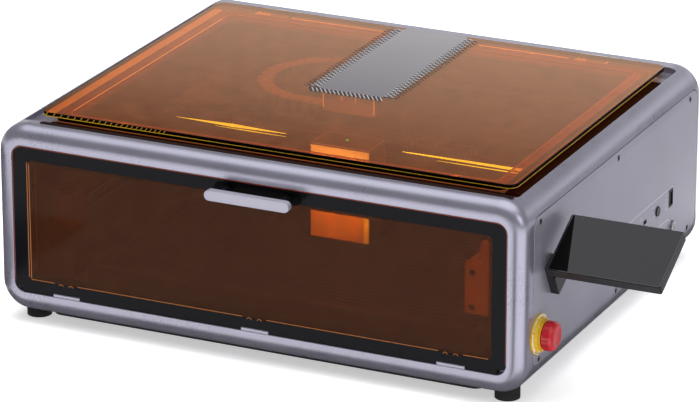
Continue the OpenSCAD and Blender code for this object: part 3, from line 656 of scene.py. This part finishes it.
# pale sheet under the sheet's left margin, which shows through it: painted light standing for the lit deck
# seen there
flange = Piece("lid_flange", "lid", "amber_acrylic", [EXTRA["margin_painted_light"], EXTRA["edge_dark"]])
flange.slab(rounded(x0 + 1.2, fx0 - 2.4, y0 + 3, y1 - 14, 4), z0 - 0.4, z0 - 0.05, bevel=0.1, steps=1)
flange.tube([(fx0 - 1.2, fy0 + 8, z0 - 0.4), (fx0 - 1.2, fy1 - 8, z0 - 0.4)], 0.35, 6, mat=1)
flange.done()

# glints of the spring hinges below the rear edge
for side, a, b in (("left", -209, -171), ("right", 156, 192)):
    comb = Piece("hinge_spring_" + side, "lid", "bare_steel", [EXTRA["spring_glint"]])
    count = 7
    for i in range(count):
        cx = a + (b - a) * (i + 0.5) / count
        comb.tube([(cx - 1.6, 191.8, z0 - 0.9), (cx + 1.6, 199.6, z0 - 0.9)], 0.75, 8)
    comb.tube([(a, 191.0, z0 - 1.0), (b, 191.0, z0 - 1.0)], 0.5, 6)
    comb.done()
# glowing beads and a line below the rear edge: painted glints along the rear rim
bead = Piece("rear_bead", "lid", "amber_acrylic", [EXTRA["spring_glint"]])
for a, b in ((-166, -62), (50, 150)):
    bead.tube([(a, 194.5, z0 - 0.6), (b, 194.5, z0 - 0.6)], 0.55, 6)
for cx in (-150, -118, -84, -60, 52, 78, 110, 140):
    bead.tube([(cx - 1.5, 192.0, z0 - 0.9), (cx + 1.5, 192.0, z0 - 0.9)], 0.7, 6)
bead.done()

# catches that hold the lid's front edge, with glowing upright lines at their front corners as painted
# highlights
for side, cx in CATCHES:
    catch = Piece("lid_catch_" + side, "root", "amber_acrylic", [EXTRA["catch_red"], EXTRA["painted_edge_light"]])
    catch.slab(rounded(cx - 5.2, cx + 5.2, -207.0, -200.5, 2), DECK_Z + 0.02, DECK_Z + 3.4, bevel=1.0, steps=3)
    for s in (-1, 1):
        catch.tube([(cx + s * 4.7, -207.1, DECK_Z + 0.6), (cx + s * 4.7, -207.1, DECK_Z + 2.6)], 0.4, 6, mat=1)
    catch.done()

# near-black trim on the deck in front of and beside the lid, and on the bezel's flat top, tinted red: a
# painted reflection of the lid's dark amber edge
trim = Piece("deck_trim", "root", "shell_paint", [EXTRA["deck_dark_reflection"], EXTRA["painted_glow_orange"]])
for ring in (rounded(-243, 262.6, -209.4, -189.4, 3), rounded(242.4, 262.6, -192, 176, 3)):
    trim.slab(ring, DECK_Z + 0.02, DECK_Z + 0.3, bevel=0.12, steps=1)
trim.slab(rounded(-243, 263, -217.6, -210.4, 3), BEZEL_TOP_Z + 0.02, BEZEL_TOP_Z + 0.2, bevel=0.08, steps=1)
trim.done()

# ---- front door ----

DOOR_PLATE_Y = -234.5
FRONT_Y = -233.42  # just in front of the window, where its edges catch light
LUGS = (-207.6, -0.2, 207.6)

dx0, dx1, _, _, dz0, dz1 = box_mm("door_frame")
wx0, wx1, _, _, wz0, wz1 = box_mm("door_window")
repaint("door_window", "door_amber")
pad = Piece("handle_pad", "door", "black_aluminium", [EXTRA["pure_black"]])
pad.slab(rounded(-42, 51, 171.6, 183.0, 5.6), DOOR_PLATE_Y - 0.12, DOOR_PLATE_Y, bevel=0.05, steps=1,
         axes="xzy")
pad.done()

# light caught by the window's left and lower edges, broken at the hinge lugs
glow = Piece("window_edges", "door", "amber_acrylic", [EXTRA["painted_glow_orange"], EXTRA["painted_glow_red"]])
lo_x, hi_x, lo_z, hi_z = wx0 + 0.2, wx1 - 0.2, wz0 + 0.2, wz1 - 0.2
glow.tube([(lo_x + 1.0, FRONT_Y, hi_z - 2), (lo_x + 1.0, FRONT_Y, lo_z + 3)], 0.34, 6)
glow.tube([(lo_x + 3.4, FRONT_Y, hi_z - 3), (lo_x + 3.4, FRONT_Y, lo_z + 2)], 0.34, 6)
edge = [lo_x + 3.4]
for cx in LUGS:
    edge += [cx - 13, cx + 13]
edge.append(hi_x - 3)
for a, b in zip(edge[::2], edge[1::2]):
    glow.tube([(a, FRONT_Y, lo_z + 0.9), (b, FRONT_Y, lo_z + 0.9)], 0.34, 6)
for cx in LUGS:
    for s in (-1, 1):
        curl = [(cx + s * (3 + 5 * t), FRONT_Y, lo_z - 1.2 + 1.8 * math.sin(math.pi * t))
                for t in (0, 0.2, 0.4, 0.6, 0.8, 1)]
        glow.tube(curl, 0.3, 6)
glow.done()

# thin glowing red line round the door's top and sides: painted light caught by the door's edge
halo = Piece("door_edge", "door", "amber_acrylic", [EXTRA["painted_glow_red"]])
outer = rounded(dx0 + 0.1, dx1 - 0.1, dz0 + 0.1, dz1 - 0.1, 10.6)()
top_run = [p for p in outer if p[1] > dz0 + 10]
start = min(range(len(top_run)), key=lambda i: (top_run[i][0] < 0, top_run[i][1]))
top_run = top_run[start:] + top_run[:start]
halo.tube([(u, -233.2, v) for u, v in top_run], 0.42, 6)
halo.done()

# dark gasket behind the door's border
gasket = Piece("door_gasket", "root", "black_sheet", [EXTRA["gasket"]])
outer_edge = rounded(-262, 262, 36.2, 184.2, 9)
inner_edge = rounded(-244, 244, 52.5, 167.5, 5)
section = ((outer_edge, -227.75), (outer_edge, -227.25), (inner_edge, -227.25), (inner_edge, -227.75))
gasket.loft_loop([[place((u, v, h), "xzy") for u, v in ring()] for ring, h in section])
gasket.done()

# ---- screen ----

SCREEN_HINGE, SCREEN_ANGLE = (0, -198, 134), 29

# u and v run across and up the glass, from its hinge
tilt = Matrix.Translation(SCREEN_HINGE) @ Matrix.Rotation(math.radians(SCREEN_ANGLE), 4, "X")
shown = Piece("screen_bevel", "screen", "screen_glass", [EXTRA["display_edge"], EXTRA["painted_reflection_black"]])
shown.slab(rounded(403.2, 404.9, 1.2, 69.8, 0.8), 0.02, 0.35, bevel=0.2, steps=2, turn=tilt)
shown.slab(rounded(330, 403.2, 0.2, 1.3, 0.5), 0.02, 0.3, bevel=0.15, steps=2, turn=tilt)
# dark wedge at the glass's left side: a painted reflection of the dark casing
corners = ((292.0, 69.6), (292.0, 1.4), (311.0, 1.4), (293.6, 69.6))
shade = [Vector((u, v, 0.02)) for u, v in corners]
shown.loft([[tilt @ q for q in shade], [tilt @ (q + Vector((0, 0, 0.1))) for q in shade]], mat=1)
shown.done()

# ---- right side ----

SIDE = 283.5  # outer face of the right side panel
ESTOP = (0, -198.8, 67.5)

prints = Piece("port_lines", "root", "panel_paint", [EXTRA["white_print"]])


def mark(ya, za, yb, zb, thick=0.55):
    """A printed line on the right panel."""
    a, b = Vector((0, ya, za)), Vector((0, yb, zb))
    along = (b - a).normalized()
    side = Vector((0, -along.z, along.y)) * thick / 2
    corners = (a - side, a + side, b + side, b - side)
    prints.loft([[(x, p.y, p.z) for p in corners] for x in (SIDE + 0.01, SIDE + 0.09)])


# frames round the ports, then plain strokes in place of the real symbols
mark(-20, 101.3, 151, 101.3)
mark(151, 101.3, 154.2, 98)
mark(154.2, 98, 154.2, 60)
mark(-20, 69, 140, 69)
mark(140, 69, 143, 66)
by_usb = ((132, 81, 137, 81), (132, 92, 137, 92), (132, 81, 132, 92), (137, 81, 137, 92), (131, 96, 138, 96))
by_button = ((97, 80, 97, 86), (97, 86, 100, 86), (96, 90, 101, 90), (95, 95, 103, 95), (100, 80, 100, 84))
by_slot = ((63, 80, 65, 84), (65, 84, 67, 80), (62, 92, 70, 92), (62, 95, 68, 95))
for stroke in (*by_usb, *by_button, *by_slot):
    mark(*stroke, 0.45)
KEY_Y, KEY_Z, ARC_R = 151.7, 56.9, 9.5  # a dashed arc over the key
for k in range(7):
    a, b = (math.radians(25 + 18 * (k + part)) for part in (0, 0.6))
    mark(KEY_Y + ARC_R * math.cos(a), KEY_Z + ARC_R * math.sin(a),
         KEY_Y + ARC_R * math.cos(b), KEY_Z + ARC_R * math.sin(b), 0.5)
prints.done()

# pale ring on the emergency stop's collar, with arrows that show the way to twist
ring = Piece("estop_ring", "root", "yellow_plastic",
             [EXTRA["cream_plastic"], MAT["yellow_plastic"], EXTRA["dash_print"]])
face = SIDE + 1.8
section = ((-0.02, 16.9), (0.16, 16.9), (0.2, 17.1), (0.2, 19.5), (0.1, 19.7), (-0.02, 19.7))
ring.revolved([(face + along, r) for along, r in section], ESTOP)
for k in range(3):
    base = 120 * k + 20
    for j in range(5):
        turn = Matrix.Translation(ESTOP) @ Matrix.Rotation(math.radians(base + 9 * j), 4, "X")
        ring.box(face + 0.18, face + 0.26, -1.3, 1.3, 18.0, 18.7, 0, turn, 2)
    turn = Matrix.Translation(ESTOP) @ Matrix.Rotation(math.radians(base + 46), 4, "X")
    arrow = ((-1.2, 17.2), (1.6, 18.35), (-1.2, 19.5))
    ring.loft([[turn @ Vector((x, *q)) for q in arrow] for x in (face + 0.18, face + 0.26)], mat=2)
ring.done()

band = Piece("estop_band", "estop_head", "yellow_plastic", [MAT["yellow_plastic"]])
section = ((5.7, 13.2), (5.7, 14.9), (6.9, 14.9), (7.1, 14.4), (7.1, 13.2))
band.revolved([(SIDE + along, r) for along, r in section], ESTOP)
band.done()

# ---- laser head and gantry ----

hx0, hx1, hy0, hy1, _, hz1 = box_mm("laser_head")
# cap on the head, with an LED and a glowing orange bead round its rim: a painted highlight
cap = Piece("head_cap", "head", "head_paint",
            [EXTRA["head_top"], EXTRA["led_green"], EXTRA["painted_glow_orange"]])
cap.slab(rounded(hx0 + 0.6, hx1 - 0.6, hy0 + 0.6, hy1 - 0.6, 3), hz1 - 0.05, hz1 + 1.4, bevel=0.5, steps=3)
cap.turned([(hz1 + 1.3, 1.5), (hz1 + 1.9, 1.4), (hz1 + 2.2, 0.6)], (4.0, -30, 0), "z", 16, mat=1)
cap.loop(rounded(hx0 + 1.1, hx1 - 1.1, hy0 + 1.1, hy1 - 1.1, 3)(), hz1 + 1.35, 0.26, mat=2)
cap.done()

gx0, gx1, gy0, _, _, gz1 = box_mm("gantry_beam")
repaint("work_bed", "bed_dark")
# the front brackets glow faintly: painted light, dimmer towards the left
repaint("front_brackets", "bracket_painted_light")
# glowing streaks on the beam's front edge: painted highlights
glint = Piece("beam_painted_highlight", "gantry", "bare_aluminium", [EXTRA["beam_painted_highlight"]])


def highlight_streak(xa, xb, y, z, half, peak, power=0.7):
    """A painted highlight on the beam's front edge: a glowing lens-shaped streak, widest at peak (0 to 1 along
    its length).

    half is half its greatest height, and power under 1 makes it blunter."""
    rings = []
    for i in range(33):
        t = i / 32
        swell = (t / peak) if t < peak else (1 - t) / max(1 - peak, 0.03)
        h = half * (0.06 + 0.94 * max(min(swell, 1.0), 0.0) ** power)
        x = xa + (xb - xa) * t
        rings.append([(x, y + 0.25 * math.cos(a), z + h * math.sin(a)) for a in circle(10)])
    glint.loft(rings)


highlight_streak(gx0 + 26, -72, gy0 - 0.2, gz1 - 2.2, 1.9, 0.5, 1.1)
highlight_streak(gx0 + 70, -76, gy0 - 0.2, gz1 - 5.4, 0.5, 0.5)
highlight_streak(52, gx1 - 12, gy0 - 0.2, gz1 - 2.0, 1.8, 0.93, 0.55)
highlight_streak(90, gx1 - 14, gy0 - 0.2, gz1 - 5.8, 0.8, 0.9, 0.6)
glint.done()

# ---- drag chain ----

CX, CY, CR = -83.0, 112.0, 66.0  # centre and radius of the bend
CZ0, CZ1 = 155.05, 175.05  # lower and upper faces
REAR_END, FRONT_END = -33.0, -56.0  # x of the end on the rear beam and of the end on the gantry
LINKS, WIRES = 22, 5
half_turn = math.pi * CR
total = (REAR_END - CX) + half_turn + (FRONT_END - CX)


def chain_at(s):
    """Point and heading (degrees) at the length s from the fixed end."""
    if s < REAR_END - CX:
        return REAR_END - s, CY + CR, 180.0
    s -= REAR_END - CX
    if s < half_turn:
        a = math.pi / 2 + s / CR
        return CX + CR * math.cos(a), CY + CR * math.sin(a), math.degrees(a) + 90
    return CX + s - half_turn, CY - CR, 0.0


chain = Piece("cable_chain", "root", "chain_plastic",
              [MAT["chain_plastic"], EXTRA["chain_top"], EXTRA["edge_dark"]])
pitch = total / LINKS
for i in range(LINKS):
    px, py, heading = chain_at((i + 0.5) * pitch)
    turn = Matrix.Translation((px, py, 0)) @ Matrix.Rotation(math.radians(heading), 4, "Z")
    hl = pitch / 2 - 0.15
    # top plates in the paler copy: painted light on the chain's top
    chain.box(-hl, hl, -7.9, 7.9, CZ1 - 1.9, CZ1 - 0.1, 0.35, turn, 1)
    chain.box(-hl, hl, -7.9, 7.9, CZ0 + 0.1, CZ0 + 1.9, 0.35, turn)
    for s in (-1, 1):
        chain.box(-3.6, 3.6, s * 6.6 - 1.1, s * 6.6 + 1.1, CZ0 + 1.5, CZ1 - 1.5, 0.3, turn)
        pin = turn @ Vector((hl - 1.0, s * 6.2, 0))
        chain.turned([(CZ1 - 0.2, 1.0), (CZ1 - 0.02, 0.9)], pin, "z", 8, mat=2)
WIRE_STEPS = 60
for k in range(WIRES):
    wire = []
    off = (k - 2) * 2.1
    height = (CZ0 + CZ1) / 2 + (2.5 if k % 2 else -2.5)
    for i in range(WIRE_STEPS):
        px, py, heading = chain_at(total * (i + 0.5) / WIRE_STEPS)
        a = math.radians(heading)
        wire.append((px - off * math.sin(a), py + off * math.cos(a), height))
    chain.tube(wire, 1.1, 6, mat=2)
chain = chain.done(ride=False)
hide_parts("drag_chain")
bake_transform(chain)

# flat cable with a groove between its cores
rx0, rx1, ry0, ry1, rz0, rz1 = box_mm("head_ribbon")
ribbon = Piece("flat_cable", "gantry", "black_plastic", [MAT["black_plastic"]])
CORES = 8
rings = []
for i in range(33):
    t = i / 32
    x = rx0 + (rx1 - rx0) * t
    bow = 0.16 * math.sin(2 * math.pi * t)
    ring_pts = []
    for side in (1, -1):
        order = range(CORES * 4 + 1) if side > 0 else range(CORES * 4, -1, -1)
        for j in order:
            z = rz0 + (rz1 - rz0) * j / (CORES * 4)
            lump = 0.06 + 0.26 * abs(math.sin(math.pi * j / 4))
            ring_pts.append((x, (ry0 + ry1) / 2 + bow + side * lump, z))
    rings.append(ring_pts)
ribbon.loft(rings)
ribbon = ribbon.done(ride=False)
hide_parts("head_ribbon")
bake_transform(ribbon)

# brass screws and a clamp near the beam's right end, clear of the carriage
clamp = Piece("belt_clamp", "gantry", "bare_steel", [EXTRA["brass"]])
screw_x, screw_y = gx1 - 9, gy0 - 3.6
big_screw = ((0, 1.2), (0.4, 2.6), (2.4, 2.6), (3.0, 2.0), (3.0, 0.8))
small_screw = ((0, 1.0), (0.4, 2.2), (2.6, 2.2), (3.1, 1.6))
clamp.turned(big_screw, (screw_x, screw_y, gz1 - 12), "y", 20)
clamp.turned(small_screw, (screw_x, screw_y, gz1 - 20), "y", 20)
clamp.box(gx1 - 10.4, gx1 - 7.6, gy0 - 1.0, gy0 + 1.5, gz1 - 0.5, gz1 + 3.0, 0.3)
clamp.done()

# camera under the lid: glowing upright lines on its front and edges as painted highlights, and a lens hood
# below
repaint("camera_housing", "camera_shell")
kx0, kx1, ky0, ky1, kz0, kz1 = box_mm("camera_housing")
lens = Piece("camera_trim", "lid", "black_plastic", [EXTRA["painted_glint_gold"], EXTRA["pure_black"]])
for cx in (kx0 + 1.4, kx1 - 1.4):
    lens.tube([(cx, ky0 - 0.2, kz0 + 3), (cx, ky0 - 0.2, kz1 - 3)], 0.5, 6)
for cx in (kx0 + 22, kx0 + 37):
    lens.tube([(cx, ky0 - 0.1, kz0 + 13), (cx, ky0 - 0.1, kz1 - 4)], 0.3, 6)
hood = ((kz0 - 1.2, 4.0), (kz0 - 1.2, 6.0), (kz0 + 0.2, 7.0), (kz0 + 0.5, 7.0), (kz0 + 0.5, 4.0))
lens.turned(hood, ((kx0 + kx1) / 2, (ky0 + ky1) / 2, 0), "z", 28, mat=1)
lens.done()

# rails on the side beams behind the gantry's reach, in a paler colour that paints light along them, and bolt
# heads on the brackets and the rear beam
rails = Piece("rail_line", "root", "bare_aluminium", [EXTRA["chain_top"]])
bx0, bx1, _, by1, _, bz1 = box_mm("y_beams")
GANTRY_REACH_Y = 170
for cx in (bx0 + 2.2, bx1 - 2.2):
    rails.tube([(cx, GANTRY_REACH_Y, bz1 + 0.2), (cx, by1 - 3, bz1 + 0.2)], 0.9, 8)
rails.done()
bolts = Piece("beam_dots", "root", "black_steel", [EXTRA["pure_black"]])
_, px1, py0, _, pz0, _ = box_mm("front_brackets")
bracket_bolt = ((py0 - 0.05, 3.3), (py0 - 0.35, 3.1), (py0 - 0.35, 1.5), (py0 - 0.1, 1.4))
for cz in (pz0 + 6, pz0 + 41.5):
    bolts.turned(bracket_bolt, (px1 - 24.2, 0, cz), "y", 24)
beam_bolt = ((187.7, 2.6), (187.3, 2.4), (187.3, 1.2), (187.9, 1.1))
for cx in (-186, 186, 12, 96):
    bolts.turned(beam_bolt, (cx, 0, 167), "y", 20)
bolts.done()

# ---- rear wall ----

vx0, vx1, vy0, _, vz0, vz1 = box_mm("vent_grille")
hoop = Piece("grille_hoop", "root", "liner_paint", [EXTRA["hoop_grey"]])
flat = rounded(vx0 + 1, vx1 - 1, vz0 + 1, vz1 - 1, 6)()
hoop.loop(flat, vy0 - 0.4, 0.8, axes="xzy")
GRILLE_GAPS = 15
for k in range(1, GRILLE_GAPS):
    cx = vx0 + 1 + (vx1 - vx0 - 2) * k / GRILLE_GAPS
    hoop.box(cx - 0.8, cx + 0.8, vy0 - 0.5, vy0 + 0.1, vz0 + 3, vz1 - 3, 0.15)
hoop.done()

# ---- lights, floor and world ----


def stage_mesh(name, verts, faces, material):
    """A mesh of the studio, which isn't part of the object."""
    mesh = bpy.data.meshes.new(name)
    mesh.from_pydata(verts, [], faces)
    mesh.materials.append(material)
    obj = bpy.data.objects.new(name, mesh)
    bpy.context.scene.collection.objects.link(obj)
    return obj


def floor():
    """Pale floor; it glows a little, so that it stays close to white."""
    n = Nodes("floor")
    shade = n.mix(n.ramp(n.noise(3.0, 4), 0.3, 0.7), (0.90, 0.90, 0.90), (0.92, 0.92, 0.92))
    mat = n.finish(n.principled(shade, 0.8, Specular_IOR_Level=0.1, Emission_Color=(1, 1, 1, 1),
                                Emission_Strength=0.5))
    half, count = 14.0, 14
    step = 2 * half / count
    verts = [(-half + step * i, -half + step * j, 0.0) for i in range(count + 1) for j in range(count + 1)]
    row = count + 1
    faces = [(i * row + j, (i + 1) * row + j, (i + 1) * row + j + 1, i * row + j + 1)
             for i in range(count) for j in range(count)]
    stage_mesh("floor", verts, faces, mat)


def rear_card():
    """A backdrop out of the camera's sight, which lights the object and shows in the lid and the other glossy
    faces: a bright band, dark above and below.
    """
    n = Nodes("rear_card")
    xyz = n.add("ShaderNodeSeparateXYZ")
    n.put(n.coord, xyz.inputs[0])
    glow = n.add("ShaderNodeEmission")
    n.put((1.0, 0.985, 0.99, 1.0), glow.inputs["Color"])
    upper = n.ramp(xyz.outputs["Z"], CARD_BRIGHT_TO, CARD_DARK_FROM, CARD_LOW, CARD_HIGH)
    n.put(n.math("MULTIPLY", upper, n.ramp(xyz.outputs["Z"], 0.42, 0.60, 0.18, 1.0)), glow.inputs["Strength"])
    verts = [(x, CARD_Y, z) for z in (0.02, 0.6, 1.1, 2.2) for x in (-2.4, -1.0, 0.4, 1.6)]
    faces = [(4 * r + c, 4 * r + c + 1, 4 * r + c + 5, 4 * r + c + 4) for r in range(3) for c in range(3)]
    card = stage_mesh("rear_card", verts, faces, n.finish(glow.outputs[0]))
    card.visible_camera = False
    card.visible_shadow = False


def softbox(name, at, to, size, power, glossy=True, spread=180):
    """An area light at one point, aimed at another; glossy=False keeps it out of reflections."""
    data = bpy.data.lights.new(name, "AREA")
    data.shape = "RECTANGLE"
    data.size, data.size_y = size
    data.energy = power
    data.spread = math.radians(spread)
    obj = bpy.data.objects.new(name, data)
    bpy.context.scene.collection.objects.link(obj)
    obj.location = at
    obj.rotation_mode = "QUATERNION"
    obj.rotation_quaternion = (Vector(to) - Vector(at)).to_track_quat("-Z", "Y")
    obj.visible_camera = False
    obj.visible_glossy = glossy
    return obj


def sky():
    """Soft studio surround: bright overhead, dim round the front, pale at the back."""
    world = bpy.data.worlds.new("world")
    bpy.context.scene.world = world
    world.use_nodes = True
    tree = world.node_tree
    back = tree.nodes["Background"]
    coord = tree.nodes.new("ShaderNodeTexCoord")
    xyz = tree.nodes.new("ShaderNodeSeparateXYZ")
    tree.links.new(coord.outputs["Generated"], xyz.inputs[0])

    def ramp(value, a, b, lo, hi):
        n = tree.nodes.new("ShaderNodeMapRange")
        n.clamp = True
        n.interpolation_type = "SMOOTHSTEP"
        tree.links.new(value, n.inputs["Value"])
        for k, v in (("From Min", a), ("From Max", b)):
            n.inputs[k].default_value = v
        for k, v in (("To Min", lo), ("To Max", hi)):
            if isinstance(v, bpy.types.NodeSocket):
                tree.links.new(v, n.inputs[k])
            else:
                n.inputs[k].default_value = v
        return n.outputs["Result"]

    front = ramp(xyz.outputs["Z"], 0.72, 0.90, SKY_FRONT, SKY_TOP)
    rear = ramp(xyz.outputs["Z"], 0.72, 0.90, SKY_REAR, SKY_TOP)
    tree.links.new(ramp(xyz.outputs["Y"], -0.3, 0.4, front, rear), back.inputs["Strength"])
    back.inputs["Color"].default_value = (0.97, 0.98, 1.0, 1.0)


def flag(name, corners, shade=0.06, z=0.004):
    """A dark card on the floor that only mirrors see, so that one side's reflections stay dark."""
    n = Nodes(name)
    low, high = (shade, shade, shade * 1.05), (shade * 1.2, shade * 1.2, shade * 1.25)
    grey = n.mix(n.ramp(n.noise(4.0, 3), 0.3, 0.7), low, high)
    mat = n.finish(n.principled(grey, 0.9, Specular_IOR_Level=0.0))
    card = stage_mesh(name, [(x, y, z) for x, y in corners], [tuple(range(len(corners)))], mat)
    card.visible_camera = False
    card.visible_shadow = False
    card.visible_diffuse = False


def oblong(x0, x1, y0, y1):
    return [(x0, y0), (x1, y0), (x1, y1), (x0, y1)]


def wedge(apex, start, end, reach):
    """A triangle that fans out from apex, between two headings in degrees."""
    headings = (math.radians(start), math.radians(end))
    return [apex, *((apex[0] + reach * math.cos(a), apex[1] + reach * math.sin(a)) for a in headings)]


CARD_Y = 1.5  # distance of the rear card
CARD_BRIGHT_TO, CARD_DARK_FROM = 0.66, 0.89  # heights between which its strength falls
CARD_LOW, CARD_HIGH = 1.5, 0.10  # strengths below and above
SKY_FRONT, SKY_REAR, SKY_TOP = 0.18, 0.22, 1.7
floor()
rear_card()
flag("flag_near", oblong(-0.32, 0.32, -0.262, 0.34))
flag("flag_left", oblong(-1.5, -0.325, -0.5, 0.7))
flag("flag_right", wedge((0.283, -0.236), 2, 44, 1.4))
flag("flag_front", wedge((0.262, -0.250), -93, -66, 1.2), 0.03)
flag("flag_panel", wedge((0.285, -0.30), 44, 84, 1.6), 0.42)
sky()
softbox("fill_top", (0.0, 0.2, 2.5), (0, 0, 0.1), (2.4, 2.0), 40, glossy=False)
softbox("key_right", (2.2, -1.0, 1.3), (0.2, 0, 0.1), (0.9, 1.2), 8)
softbox("chamber_front", (0.004, -0.205, 0.12), (0.004, -0.05, 0.117), (0.07, 0.06), 0.12, glossy=False,
        spread=50)
